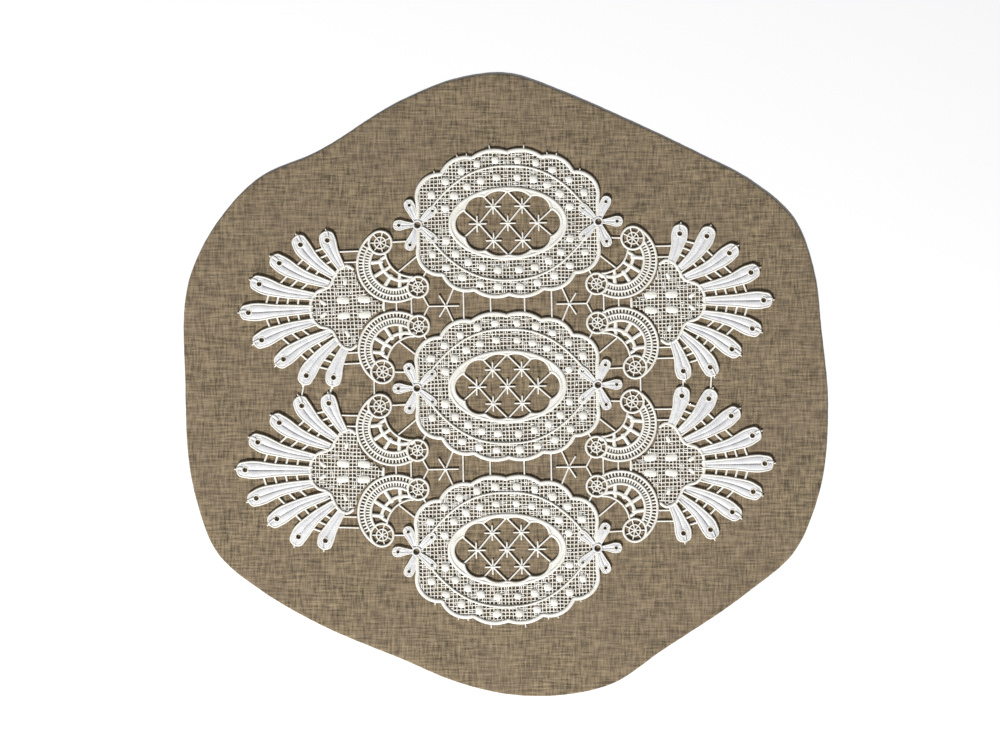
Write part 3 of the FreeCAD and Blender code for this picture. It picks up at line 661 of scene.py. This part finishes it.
# Settings


def setting(name, description, default, **more):
    """A number that the user may change."""
    return bpy.props.FloatProperty(name=name, description=description, default=default, **more)


def colour_setting(name, description, default):
    """A colour that the user may change."""
    return bpy.props.FloatVectorProperty(name=name, description=description, default=default, subtype="COLOR")


class RunnerLinen(bpy.types.PropertyGroup):
    """Sizes and colours of the linen ground."""
    thread_pitch: setting("Thread pitch", "Distance between threads", 0.0007, unit="LENGTH")
    rim: setting("Rim", "Rounding of the cut edge, in millimetres", 0.25)
    light: colour_setting("Light thread", "Colour of the lighter threads", (0.420, 0.322, 0.200))
    dark: colour_setting("Dark thread", "Colour of the darker threads", (0.075, 0.058, 0.034))
    tint: colour_setting("Tint", "Colour of the slow changes over the cloth", (0.240, 0.176, 0.126))


class RunnerLace(bpy.types.PropertyGroup):
    """Sizes, in millimetres, and colours of the lace."""
    hover: setting("Hover", "How far the lace lies above the linen", 0.3)
    edge_width: setting("Edge", "Width of the scalloped edge", 2.3)
    cord_width: setting("Cord", "Width of a head's cord", 1.3)
    bar_width: setting("Bar", "Width of a stitched bar", 0.95)
    cord_height: setting("Cord height", "Height of a cord", 1.2)
    satin_height: setting("Satin height", "Height of satin work", 1.4)
    bar_height: setting("Bar height", "Height of a bar", 0.8)
    net_pitch: setting("Net pitch", "Distance between net threads", 1.85)
    net_thread: setting("Net thread", "Width of a net thread", 0.68)
    cotton: colour_setting("Cotton", "Colour of the cotton cord", (0.95, 0.93, 0.87))
    # Darker cotton: random darker thread and painted shade in the grooves between the threads
    cotton_dark_and_painted_shade: colour_setting("Cotton shade", "Colour between the cords' threads", (0.84, 0.81, 0.73))
    satin: colour_setting("Satin", "Colour of the satin stitches", (0.92, 0.92, 0.925))
    # Darker satin: random darker thread and painted shade in the grooves between the stitches, also used for
    # the tacking thread
    satin_dark_and_painted_shade: colour_setting("Satin shade", "Colour between satin stitches", (0.74, 0.74, 0.76))


class RunnerStage(bpy.types.PropertyGroup):
    """The floor, the lights and the camera."""
    floor: colour_setting("Floor", "Colour of the floor", (0.97, 0.97, 0.97))
    view_width: setting("View width", "Width of the view on the table", 0.5, unit="LENGTH")
    key: setting("Key", "Power of the key light", 153.0, unit="POWER")
    fill: setting("Fill", "Strength of the soft light all round", 0.2)


# Lace shapes, each in its motif's frame


def petal(work, path, widths, hole, lace, base, foot=2.2, picot=True, ribs=1.15):
    """A petal of two satin halves beside a middle groove, a rim cord and a ring around its hole. A half
    runs from the groove to the rim, and its stitches lean outward: the rim's place is taken a slant
    further along than the groove's. Around the hole the groove opens as a circle does."""
    path = np.asarray(path, float)
    size = hole / PETAL_HOLE
    slant, rim, groove = 0.9 * size, 0.62 * size, -0.16
    shoulder = path[2] + (path[3] - path[2]) * 0.70
    spots = np.vstack([path[0] - heading(path[0], path[1]) * foot, path[1:3], shoulder, path[3]])
    aside = leftward(spots)[:4] * np.append(widths, widths[-1] * 0.78)[:, None]
    outline = through(np.vstack([spots[:4] + aside, path[3:], (spots[:4] - aside)[::-1]]))
    half = len(outline) // 2
    stations = max(12, int(lengths_along(path)[-1] / (ribs / 3)))
    share = np.linspace(0, 1, stations + 1)
    left, right = (placed(side, lengths_along(side) / lengths_along(side)[-1], share)
                   for side in (outline[:half + 1], outline[half:][::-1]))
    middle = (left + right) / 2
    spine, across = lengths_along(middle), leftward(middle)
    opened = np.sqrt(np.maximum(0, (hole + 0.25) ** 2 - distances(middle, path[2]) ** 2))
    opened = np.where(opened > 0, opened + 0.1, groove)
    ending = np.sqrt(np.clip(1 - (2 * share - 1) ** 8, 0.02, 1))
    tall = lace.satin_height * 0.86 * ribbing(spine, 0.13, ribs) * ending
    for side, edge in ((1, left), (-1, right)):
        edge = placed(edge, spine, np.minimum(spine + slant * (1 - share), spine[-1]))
        inner = middle + across * side * np.minimum(opened, distances(edge, middle) * 0.8)[:, None]
        reach = np.maximum(distances(edge, inner), 1e-6)
        outer = inner + (edge - inner) * (np.maximum(reach - rim, 0.3 * reach) / reach)[:, None]
        pair = (outer, inner) if side == 1 else (inner, outer)
        work.roll(*pair, tall, base + 0.08, sides=8)
    edge = even(outline, 0.36)
    swell = ribbing(lengths_along(edge), 0.12, 0.8)
    quarter = len(edge) // 4
    sign = np.sign(np.dot(leftward(edge)[quarter], path[1] - edge[quarter]))
    inset = edge + leftward(edge) * (sign * 1.15 * size * swell)[:, None]
    pair = (inset, edge) if sign > 0 else (edge, inset)
    work.ink = 1
    work.roll(*pair, lace.satin_height * swell, base, sides=6)
    around = arc(path[2], hole + 0.32 * size, 0, 360, 0.45)[:-1]
    out = leftward(around, True) * 0.36 * size
    work.roll(around + out, around - out, lace.satin_height * 0.98, base, closed=True, sides=6)
    if picot:
        way = heading(path[2], path[3])
        work.bar(path[3] - way * 0.5, path[3] + way * 1.1, 0.8, lace.bar_height, base + 0.15)
    work.ink = 0


def floret_paths():
    """The centre lines of a floret's petals, on the right, and their half widths."""
    x = FLORET_X
    middle = ((x + 2.2, 0.0), (x + 5.6, 0.0), (x + 9.3, 0.0), (x + 12.3, 0.0))
    side = ((x + 0.8, 2.1), (x + 2.3, 6.2), (x + 3.9, 9.9), (x + 5.0, 12.6))
    inner = ((x - 1.6, 1.5), (x - 4.6, 4.3), (x - 7.6, 7.0), (x - 9.5, 8.6))
    paths = [(middle, FLORET_MIDDLE_WIDTHS)]
    for path, widths in ((side, FLORET_SIDE_WIDTHS), (inner, FLORET_INNER_WIDTHS)):
        paths += [(path, widths), ([(px, -py) for px, py in path], widths)]
    return paths


def floret(work, lace, base):
    """Five small petals around a corded eyelet."""
    for path, widths in floret_paths():
        petal(work, path, widths, FLORET_HOLE, lace, base, foot=0.0, picot=False, ribs=0.95)
    eye = arc((FLORET_X, 0.0), EYELET, 0, 360, 0.35)
    work.cord(eye, 1.15, lace.satin_height + 0.1, base, closed=True)


def edging(work, lace, base):
    """The satin-covered scalloped edge: a roll from the outline to the edge's width inside it, left
    open at the eyelets."""
    outline, out = scalloped_outline(0.27)
    swell = ribbing(lengths_around(outline), 0.15, 0.9)
    inner = outline - out * (lace.edge_width * swell)[:, None]
    order = np.roll(np.arange(len(outline)), -np.argmin(distances(outline, (FLORET_X, 0.0))))
    clear = np.hypot(np.abs(outline[order, 0] - out[order, 0]) - FLORET_X, outline[order, 1]) > 2.4
    for first, last in stretches(clear):
        part = order[first:last]
        work.roll(inner[part], outline[part], lace.cord_height * swell[part], base, sides=8)


def picots(work, lace, base, side):
    """The small loops of thread on the scallops of one side."""
    outline, out = scalloped_outline(0.27)
    for x, length in PICOTS:
        for place in (-x, x):
            at = np.argmin(np.abs(outline[:, 0] - place) + 100 * (outline[:, 1] * side < 15))
            work.bar(outline[at] - out[at] * 0.6, outline[at] + out[at] * length, 0.7, lace.bar_height,
                     base + 0.2)


def medallion_net(work, lace, base):
    """The net between the scalloped edge and the ring."""
    outline, out = scalloped_outline(0.8)
    edge = outline - out * 1.3

    def region(points):
        ring = (points[:, 0] / (RING[0] - 0.8)) ** 2 + (points[:, 1] / (RING[1] - 0.8)) ** 2
        eyelet = np.hypot(np.abs(points[:, 0]) - FLORET_X, points[:, 1])
        return inside(points, edge) & (ring > 1) & (eyelet > 2.0)

    work.net(region, *MEDALLION_NET, lace, base)


def oval(work, lace, base):
    """The pointed oval's two cords on the net."""
    x = OVAL_REACH * np.cos(np.linspace(0, math.pi, 80))
    for side in (1, -1):
        work.cord(np.column_stack([x, side * oval_height(x)]), 1.15, 0.9, base + 0.35, ribs=1.0)


def ring(work, lace, base):
    """The ring: a flat satin fill between its ellipse and its ten-lobed opening, and a cord along each."""
    opening, out = opening_outline()
    turn = np.arctan2(opening[:, 1] / RING[1], opening[:, 0] / RING[0])
    outer = np.column_stack([RING[0] * np.cos(turn), RING[1] * np.sin(turn)])
    across = outer - opening
    fill = RING_FILL_HEIGHT * ribbing(lengths_around(outer), 0.12, 1.3)
    work.roll(opening + across * 0.12, outer - across * 0.08, fill, base, closed=True, sides=10)
    swell = ribbing(lengths_around(opening), 0.14, 0.9)
    work.roll(opening, opening + out * (RING_LIP * swell)[:, None], lace.cord_height * swell, base,
              closed=True, sides=8)
    turn = np.linspace(0, 2 * math.pi, 400)
    inset = RING_CORD / 2
    edge = np.column_stack([(RING[0] - inset) * np.cos(turn), (RING[1] - inset) * np.sin(turn)])
    work.cord(edge, RING_CORD, lace.cord_height + 0.05, base, closed=True, ribs=0.9)


def star_lines():
    """The bars across the ring's opening and the arms of its seven stars, as pairs of ends."""
    lines = []
    corner, slanted, top = OPENING_CUSPS
    for sy in (-1, 1):
        for sx in (-1, 1):
            route = [(-sx * corner[0], sy * corner[1]), (-sx * STAR_PITCH, 0.0),
                     (-sx * STAR_PITCH / 2, -sy * STAR_RISE), (0.0, -sy * top[1])]
            lines += list(zip(route, route[1:]))
        route = [(-slanted[0], sy * slanted[1]), (-STAR_PITCH / 2, sy * STAR_RISE), (0.0, 0.0),
                 (STAR_PITCH / 2, -sy * STAR_RISE), (slanted[0], -sy * slanted[1])]
        lines += list(zip(route, route[1:]))
    stars = [(k * STAR_PITCH, 0.0) for k in (-1, 0, 1)]
    stars += [(sx * STAR_PITCH / 2, sy * STAR_RISE) for sx in (-1, 1) for sy in (-1, 1)]
    for x, y in stars:
        lines += [((x - STAR_ARM, y), (x + STAR_ARM, y)), ((x, y - STAR_ARM), (x, y + STAR_ARM))]
    return lines, stars


def stars(work, lace, base):
    """The star bars, whose outer ends run a little under the ring."""
    lines, middles = star_lines()
    for start, end in lines:
        ends = [np.array(p) * (1.06 if math.hypot(*p) > STAR_PITCH + 0.1 else 1.0) for p in (start, end)]
        work.bar(*ends, lace.bar_width, lace.bar_height, base)
    for middle in middles:
        work.pad(middle, (1.0, 1.0), lace.bar_height + 0.25, base, rings=4, sides=12)


def knots(work, lace, base):
    """The raised knots, one row inside the pointed oval and one row outside it."""
    rows = [(share * RING[0], ring_height) for share in KNOT_INNER_ROW]
    rows += [(share * MEDALLION[0], lambda x: valley_height(x) - 1.2) for share in KNOT_OUTER_ROW]
    rng = work.rng
    for x, other_side in rows:
        y = (oval_height(x) + other_side(x)) / 2
        for sx in (-1, 1):
            for sy in (-1, 1):
                size = rng.uniform(1.75, 2.15, 2)
                place = (sx * x + rng.normal(0, 0.15), sy * y + rng.normal(0, 0.15))
                work.pad(place, size, 1.0, base + 0.35, square=3.2, turn=rng.normal(0, 0.2))


def palmette_path():
    """The palmette outline's middle line: its tip, along both scrolls, and around its lobes."""
    hug = arc(SCROLL_CENTRE, SCROLL_RADIUS + 0.75, -62, -9, 4.5)
    upper = [tuple(p) for p in hug if p[0] < PALMETTE_POINTS[0][0]] + list(PALMETTE_POINTS)
    lower = [(x, -y) for x, y in upper[:-1]]
    return through([PALMETTE_TIP] + lower + upper[::-1], closed=True)


def nearer_scroll(points):
    """How far each point is from the middle of the nearer scroll."""
    x, y = SCROLL_CENTRE
    return np.minimum(distances(points, (x, y)), distances(points, (x, -y)))


def palmette_cords(work, lace, base):
    """The palmette's outline where it leaves the scrolls, and the short cord across its foot."""
    def free(points):
        return (nearer_scroll(points) > SCROLL_RADIUS + 0.9) & (points[:, 0] > PALMETTE_FREE_FROM)

    x, y = PALMETTE_FOOT
    work.cord(palmette_path(), PALMETTE_CORD, lace.cord_height, base, ribs=0.9, keep=free)
    work.bar((x, -y), (x, y), 1.5, lace.bar_height, base)


def palmette_net(work, lace, base):
    """The palmette's net, and the four darned leaf blocks and the small slanted ones on it."""
    outline = palmette_path()

    def region(points):
        return inside(points, outline) & (nearer_scroll(points) > SCROLL_RADIUS - 0.5)

    work.net(region, *PALMETTE_NET, lace, base)
    for (x, y), radii, square, turn in DARNED_BLOCKS:
        for side in (1, -1):
            work.pad((x, side * y), radii, 0.7, base + 0.25, square=square, turn=side * turn)


def petal_paths(place):
    """The nine petals' centre lines of a fan, from the lowest to the highest, with their ends pulled."""
    pull = np.array(PETAL_PULLS[place])
    paths = [[(x, -y) for x, y in path] for path in reversed(SIDE_PETALS)]
    paths += [MIDDLE_PETAL] + list(SIDE_PETALS)
    return [np.array(path) + pull * np.array([0.0, 0.5, 1.0, 1.0])[:, None] for path in paths]


def share_point(path, share):
    """The point at a share of a path's length."""
    run = lengths_along(path)
    return placed(path, run, share * run[-1])[0]


def ladders(work, place, lace, base):
    """The bars between neighbouring petals, which end inside them, and from the outermost to the scrolls."""
    paths = petal_paths(place)
    middle = len(paths) // 2
    for fan_side in (paths[middle:], paths[middle::-1]):
        for number, (first, second) in enumerate(zip(fan_side, fan_side[1:])):
            for share in SIDE_LADDER if number else MIDDLE_LADDER:
                p, q = share_point(first, share), share_point(second, share)
                inset = heading(p, q) * (1.2 + 0.9 * share)
                work.bar(p + inset, q - inset, 1.2 * lace.bar_width, lace.bar_height, base)
    for height, foot in FAN_EDGE_BARS:
        x = SCROLL_CENTRE[0] + math.sqrt((SCROLL_RADIUS - 0.8) ** 2 - (height - SCROLL_CENTRE[1]) ** 2)
        for side in (1, -1):
            work.bar((x, side * height), (foot, side * height), lace.bar_width, lace.bar_height, base)


def head(work, centre, radius, lace, base, turn):
    """A scroll's head: a corded ring around a small mesh of spokes and an inner loop."""
    cord = arc(centre, radius - lace.cord_width / 2, 0, 360, 0.35)
    work.cord(cord, lace.cord_width, lace.cord_height + 0.04, base, closed=True)
    for spoke in range(HEAD_SPOKES):
        rim = on_circle(centre, radius - 0.9, 360.0 * spoke / HEAD_SPOKES + turn)
        work.bar(centre, rim, 0.75, 0.5, base + 0.1, sides=5)
    loop = arc(centre, (radius - 0.9) * HEAD_LOOP_SHARE, 0, 360, 0.35)
    work.cord(loop, 0.8, 0.55, base + 0.1, closed=True, sides=5)


def scroll(work, lace, base):
    """A C-shaped scroll: three cords on arcs about one middle, cross stitches between them, a head at
    each end, and the thin arc that closes its filling."""
    start, end = SCROLL_SWEEP

    def free(points):
        outer, inner = (distances(points, centre) > radius - 0.7
                        for centre, radius in (OUTER_HEAD, INNER_HEAD))
        return outer & inner

    for radius, width in SCROLL_CORDS:
        work.cord(arc(SCROLL_CENTRE, radius, start, end), width, lace.cord_height, base, keep=free)
    for angle in np.arange(start + 3, end - 3, SCROLL_RUNG_STEP):
        if free(on_circle(SCROLL_CENTRE, SCROLL_MIDDLE_RADIUS, angle)[None])[0]:
            low, high = (on_circle(SCROLL_CENTRE, radius, angle)
                         for radius in (SCROLL_INNER_RADIUS + 0.4, SCROLL_RADIUS - 1.0))
            work.bar(low, high, 0.95, 0.6, base + 0.1, sides=5)
    for number, (centre, radius) in enumerate((OUTER_HEAD, INNER_HEAD)):
        head(work, centre, radius, lace, base, 20 * number)
    thin = arc(THIN_ARC_CENTRE, THIN_ARC_RADIUS + 0.5, *THIN_ARC_SWEEP)
    work.cord(thin, 1.1, lace.cord_height, base, keep=free)


def scroll_filling(work, lace, base):
    """The scroll's filling, two rows of openings: a wide cord between the rows, and satin bars from it
    to the scroll and to the thin arc, with a pad where they meet."""
    middle = []
    for angle in np.linspace(*FILLING_ROW_SWEEP, 10):
        p = on_circle(SCROLL_CENTRE, SCROLL_INNER_RADIUS, angle)
        q = THIN_ARC_CENTRE + heading(THIN_ARC_CENTRE, p) * THIN_ARC_RADIUS
        middle.append(q + (p - q) * FILLING_ROW_SHARE)
    middle = through(middle)
    work.cord(middle, 1.9, 0.85, base)
    for angle in FILLING_OUTER_BARS:
        p = on_circle(SCROLL_CENTRE, SCROLL_INNER_RADIUS, angle)
        q = middle[np.argmin(distances(middle, p) + 0.15 * distances(middle, SCROLL_CENTRE))]
        work.bar(p, q, 2.3, 0.9, base)
        work.pad(q, (1.5, 1.4), 0.95, base, square=2.4, turn=math.radians(angle))
    for angle in FILLING_INNER_BARS:
        q = on_circle(THIN_ARC_CENTRE, THIN_ARC_RADIUS, angle)
        work.bar(middle[np.argmin(distances(middle, q))], q, 2.0, 0.9, base)


# Ties between the motifs, in the frame of one fan or of the lace's middle


def star_tie(work, lace, base):
    """The six-armed star between two medallions and the heads of a fan's scrolls."""
    tail, reach = INNER_HEAD
    rise = PITCH / 2 - float(valley_height(STAR_TIE_EDGE_X)) - EDGE_SEAT
    lines = [(STAR_TIE_START, STAR_TIE_FORK)]
    for side in (-1, 1):
        end = np.array([tail[0], side * tail[1]])
        end -= heading(STAR_TIE_FORK, end) * (reach - lace.cord_width / 2)
        lines += [(STAR_TIE_FORK, end), (STAR_TIE_MIDDLE, (STAR_TIE_EDGE_X, side * rise)),
                  (STAR_TIE_MIDDLE, (STAR_TIE_FREE_ARM[0], side * STAR_TIE_FREE_ARM[1]))]
    for ends in lines:
        work.bar(*ends, lace.bar_width, lace.bar_height, base)
    work.pad(STAR_TIE_MIDDLE, (1.0, 1.0), lace.bar_height + 0.3, base, rings=4, sides=12)


def fan_ties(work, lace, base):
    """The bars between a fan's own scrolls, and from them to the medallions."""
    lines = []
    for x in SCROLL_TIE_PLACES:
        rise = SCROLL_CENTRE[1] - math.sqrt(SCROLL_RADIUS ** 2 - (SCROLL_CENTRE[0] - x) ** 2)
        rise += lace.cord_width / 2
        lines.append(((x, -rise), (x, rise)))
    (outer, outer_reach), (inner, inner_reach) = OUTER_HEAD, INNER_HEAD
    lobe = np.array([SIDE_EDGE[0] - 5.8, PITCH / 2 - SIDE_EDGE[1] - 11.9])
    waist = np.array([FLORET_X + 4.6, PITCH / 2 - 8.05])
    ends = [(on_circle(THIN_ARC_CENTRE, THIN_ARC_RADIUS, ARC_TIE_ANGLE),
             np.array([SIDE_EDGE[0] - 1.6, PITCH / 2 - SIDE_EDGE[1] - 4.2])),
            (inner + heading(inner, lobe) * (inner_reach - HEAD_SEAT), lobe),
            (waist, outer + heading(outer, waist) * (outer_reach - HEAD_SEAT))]
    for side in (-1, 1):
        lines += [(start * (1, side), end * (1, side)) for start, end in ends]
    for start, end in lines:
        work.bar(start, end, lace.bar_width, lace.bar_height, base)


def fan_work(place, turned=True):
    """Work in the frame of a fan, turned about its palmette or not."""
    level, side = place.split("_")
    return Work(FAN_MIDDLES[level], side == "left", math.radians(FAN_TURNS[place]) if turned else 0.0)


def tip_place(place, number):
    """Where on the cloth a petal's tip is, counted from the tips that face the other fan."""
    path = petal_paths(place)[number if place.startswith("upper") else -1 - number]
    point = path[2] + heading(path[2], path[3]) * 2.0
    return fan_work(place).carried(np.array([[*point, 0.0]]))[0, :2]


def tacking(work, place, lace, base):
    """A thread loop over each petal's end: it comes up through the hole, crosses to beside the tip and
    goes down. Its height over the loop is one less the twelfth power of the share from its middle."""
    for path in petal_paths(place):
        way = heading(path[2], path[3])
        aside = np.array([-way[1], way[0]]) * 0.75
        start, end = path[2] + way * 0.75 + aside, path[3] + way * 0.25 + aside
        near = np.array([0, 0.004, 0.012, 0.03])
        share = np.concatenate([near, np.linspace(0.07, 0.93, 12), 1 - near[::-1]])
        line = start + (end - start) * share[:, None]
        high = (lace.satin_height + 0.1) * (1 - (2 * share - 1) ** 12)
        side = np.repeat(leftward(line[[0, -1]])[:1], len(line), 0) * 0.18
        work.roll(line + side, line - side, 0.35, base + high, sides=6)


# The pieces of a medallion and of a fan: how each is made, and its slot

MEDALLION_PARTS = {"scalloped_edge": (edging, "lace_cords"), "net": (medallion_net, "lace_net"),
                   "oval_cord": (oval, "lace_cords"), "ring": (ring, "lace_cords"),
                   "star_bars": (stars, "lace_bars"), "knots": (knots, "lace_knots"),
                   "right_floret": (floret, "lace_satin"), "left_floret": (floret, "lace_satin")}
FAN_SLOTS = {"palmette_outline": "lace_cords", "palmette_net": "lace_net", "petals": "lace_satin",
             "ladder_bars": "lace_bars", "scroll_fillings": "lace_net", "scroll_upper": "lace_cords",
             "scroll_lower": "lace_cords"}


# Operators


class RUNNER_OT_linen(bpy.types.Operator):
    """The linen ground: a closed sheet over the cut outline, in rings from its middle"""
    bl_idname = "runner.linen"
    bl_label = "Linen ground"

    def execute(self, context):
        linen = context.scene.runner_linen
        low, high = (np.array(corner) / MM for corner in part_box("linen_ground"))
        outline = even(through(np.array(LINEN_SHAPE) * (high - low)[:2] / 2, True), OUTLINE_STEP)[:-1]
        box = outline.min(0), outline.max(0)
        outline = (outline - (box[0] + box[1]) / 2) * (high - low)[:2] / (box[1] - box[0])
        rng = np.random.default_rng(11)
        outline = outline + leftward(outline, True) * rng.uniform(0.0, 0.12, len(outline))[:, None]
        rim = linen.rim / LINEN_HALF
        share = np.append(np.linspace(0.02, 1, LINEN_RINGS)[:-1], [1 - 2 * rim, 1 - 0.4 * rim, 1.0])
        top = np.append(np.full(len(share) - 3, 1.0), [1.0, 0.86, 0.5])
        share, lift = np.append(share, share[::-1][1:]), np.append(top, 1 - top[::-1][1:])
        flat = share[:, None, None] * outline[None] + (low[:2] + high[:2]) / 2
        lifted = drape(flat[..., 0], flat[..., 1]) + lift[:, None] * LINEN_TOP
        rings = np.concatenate([flat, lifted[..., None]], 2)
        points = np.vstack([rings.reshape(-1, 3), rings[[0, -1]].mean(1)])
        faces = np.vstack([ring_faces(*rings.shape[:2]), pole_faces(*rings.shape[:2])])
        finished("linen_ground_cloth", points, faces, points[faces][..., :2] / 10, "linen_ground",
                 [linen_material(linen)])
        return {"FINISHED"}


class RUNNER_OT_medallions(bpy.types.Operator):
    """The three medallions: edge, net, oval cord, ring, star bars, knots and florets"""
    bl_idname = "runner.medallions"
    bl_label = "Medallions"

    def execute(self, context):
        lace = context.scene.runner_lace
        base = LINEN_TOP + lace.hover
        for number, row in enumerate(ROWS):
            rng = np.random.default_rng(20 + number)
            for part, (make, slot) in MEDALLION_PARTS.items():
                work = Work(ROW_MIDDLES[row], mirror=part == "left_floret", rng=rng)
                make(work, lace, base)
                if part == "scalloped_edge" and row in FREE_SIDES:
                    picots(work, lace, base, FREE_SIDES[row])
                work.piece(f"{row}_{part}", slot, lace)
        return {"FINISHED"}


class RUNNER_OT_fans(bpy.types.Operator):
    """The four fans: palmette, petals, ladder bars, scrolls and their fillings"""
    bl_idname = "runner.fans"
    bl_label = "Fans"

    def execute(self, context):
        lace = context.scene.runner_lace
        base = LINEN_TOP + lace.hover
        for number, place in enumerate(PLACES):
            works = {part: fan_work(place, not part.startswith("scroll")) for part in FAN_SLOTS}
            works["palmette_net"].rng = np.random.default_rng(40 + number)
            palmette_cords(works["palmette_outline"], lace, base)
            palmette_net(works["palmette_net"], lace, base)
            for path in petal_paths(place):
                petal(works["petals"], path, PETAL_WIDTHS, PETAL_HOLE, lace, base)
            ladders(works["ladder_bars"], place, lace, base)
            for flip, part in ((False, "scroll_upper"), (True, "scroll_lower")):
                scroll_filling(works["scroll_fillings"].moved(flip=flip), lace, base)
                scroll(works[part].moved(flip=flip), lace, base)
            for part, work in works.items():
                work.piece(f"{place}_{part}", FAN_SLOTS[part], lace)
        return {"FINISHED"}


class RUNNER_OT_ties(bpy.types.Operator):
    """The stitched bars between the motifs, and the tacking stitches through the petals"""
    bl_idname = "runner.ties"
    bl_label = "Ties and tacking"

    def execute(self, context):
        lace = context.scene.runner_lace
        base = LINEN_TOP + lace.hover
        size = (lace.bar_width, lace.bar_height, base)
        star_work, tie_work, tack_work, upright = (Work((0, 0)) for _ in range(4))
        for place in PLACES:
            fan = fan_work(place)
            own = {"origin": fan.origin, "mirror": fan.mirror}
            star_tie(star_work.moved(**own), lace, base)
            fan_ties(tie_work.moved(**own), lace, base)
            tacking(tack_work.moved(**own, turn=fan.turn), place, lace, base)
        for origin in FAN_MIDDLES.values():
            upright.moved(origin=origin)
            for x in MEDALLION_TIE_PLACES:
                reach = PITCH / 2 - float(valley_height(x)) - EDGE_SEAT
                upright.bar((x, -reach), (x, reach), *size)
        tie_work.moved(origin=ROW_MIDDLES["middle"], mirror=False)
        c, s = math.cos(LACE_TURN), math.sin(LACE_TURN)
        (head_x, head_y), radius = OUTER_HEAD
        drop = math.sqrt((radius - lace.cord_width / 2) ** 2 - (FAN_TIE_X - head_x) ** 2)
        reach = PITCH / 2 - head_y - drop
        for side, x in (("left", -FAN_TIE_X), ("right", FAN_TIE_X)):
            for number in (0, 1):
                ends = [tip_place(f"{level}_{side}", number) - ROW_MIDDLES["middle"] for level in FAN_MIDDLES]
                tie_work.bar(*[(x * c + y * s, y * c - x * s) for x, y in ends], *size)
            tie_work.bar((x, -reach), (x, reach), *size)
        pieces = {"star_ties": star_work, "fan_tie_bars": tie_work, "medallion_tie_bars": upright}
        for node, work in pieces.items():
            work.piece(node, "lace_bars", lace)
        tack_work.piece("tacking_stitches", "tacking_thread", lace)
        return {"FINISHED"}


class RUNNER_OT_lay(bpy.types.Operator):
    bl_idname = "runner.lay"
    bl_label = "Lay the sheet"

    def execute(self, context):
        return {"FINISHED"}


class RUNNER_OT_stage(bpy.types.Operator):
    """A plain pale floor, a soft key light from the lower left, light all round, and the camera above"""
    bl_idname = "runner.stage"
    bl_label = "Stage"

    def execute(self, context):
        scene = context.scene
        stage = scene.runner_stage
        mesh = bpy.data.meshes.new("floor")
        around = ((-1, -1), (1, -1), (1, 1), (-1, 1))
        corners = [(x * FLOOR_REACH, y * FLOOR_REACH, -FLOOR_DROP) for x, y in around]
        mesh.from_pydata(corners, [], [(0, 1, 2, 3)])
        finish = Finish("pale_floor")
        paler = [min(1.0, channel * 1.02) for channel in stage.floor]
        colour = finish.blend(finish.noise(3.0, 2.0), (*stage.floor, 1.0), (*paler, 1.0))
        finish.feed(finish.shader, [("Base Color", colour), ("Roughness", 0.9)])
        mesh.materials.append(finish.material)
        floor = bpy.data.objects.new("floor", mesh)
        world = bpy.data.worlds.new("soft_light")
        world.use_nodes = True
        background = world.node_tree.nodes["Background"].inputs
        background[0].default_value, background[1].default_value = (1.0, 1.0, 1.0, 1.0), stage.fill
        scene.world = world
        light = bpy.data.lights.new("key", "AREA")
        light.shape, light.size, light.energy = "DISK", KEY_SIZE, stage.key
        key = bpy.data.objects.new("key", light)
        key.location, key.rotation_euler = KEY_PLACE, [math.radians(angle) for angle in KEY_TURN]
        lens = bpy.data.cameras.new("above")
        lens.lens, lens.sensor_width = LENS, FILM
        camera = bpy.data.objects.new("above", lens)
        camera.location = (*VIEW_MIDDLE, stage.view_width * LENS / FILM)
        for thing in (floor, key, camera):
            scene.collection.objects.link(thing)
        scene.camera = camera
        scene.view_settings.view_transform = "Standard"
        return {"FINISHED"}


OPERATORS = (RUNNER_OT_linen, RUNNER_OT_medallions, RUNNER_OT_fans, RUNNER_OT_ties, RUNNER_OT_lay,
             RUNNER_OT_stage)
GROUPS = {"runner_linen": RunnerLinen, "runner_lace": RunnerLace, "runner_stage": RunnerStage}


class RUNNER_PT_panel(bpy.types.Panel):
    """Lists the runner's sizes and colours and its operators"""
    bl_idname = "RUNNER_PT_panel"
    bl_label = "Lace table runner"
    bl_space_type = "VIEW_3D"
    bl_region_type = "UI"
    bl_category = "Runner"

    def draw(self, context):
        for name, group in GROUPS.items():
            box = self.layout.box()
            for prop in group.__annotations__:
                box.prop(getattr(context.scene, name), prop)
        for operator in OPERATORS:
            self.layout.operator(operator.bl_idname)


def register():
    """Registers the settings, the operators and the panel."""
    for kind in (*GROUPS.values(), *OPERATORS, RUNNER_PT_panel):
        bpy.utils.register_class(kind)
    for name, group in GROUPS.items():
        setattr(bpy.types.Scene, name, bpy.props.PointerProperty(type=group))


def unregister():
    """Takes them out again, the last one first."""
    for name in GROUPS:
        delattr(bpy.types.Scene, name)
    for kind in reversed((*GROUPS.values(), *OPERATORS, RUNNER_PT_panel)):
        bpy.utils.unregister_class(kind)


def main():
    """Builds every piece and the stage in order."""
    register()
    for operator in OPERATORS:
        group, name = operator.bl_idname.split(".")
        getattr(getattr(bpy.ops, group), name)()


if __name__ == "__main__":
    main()
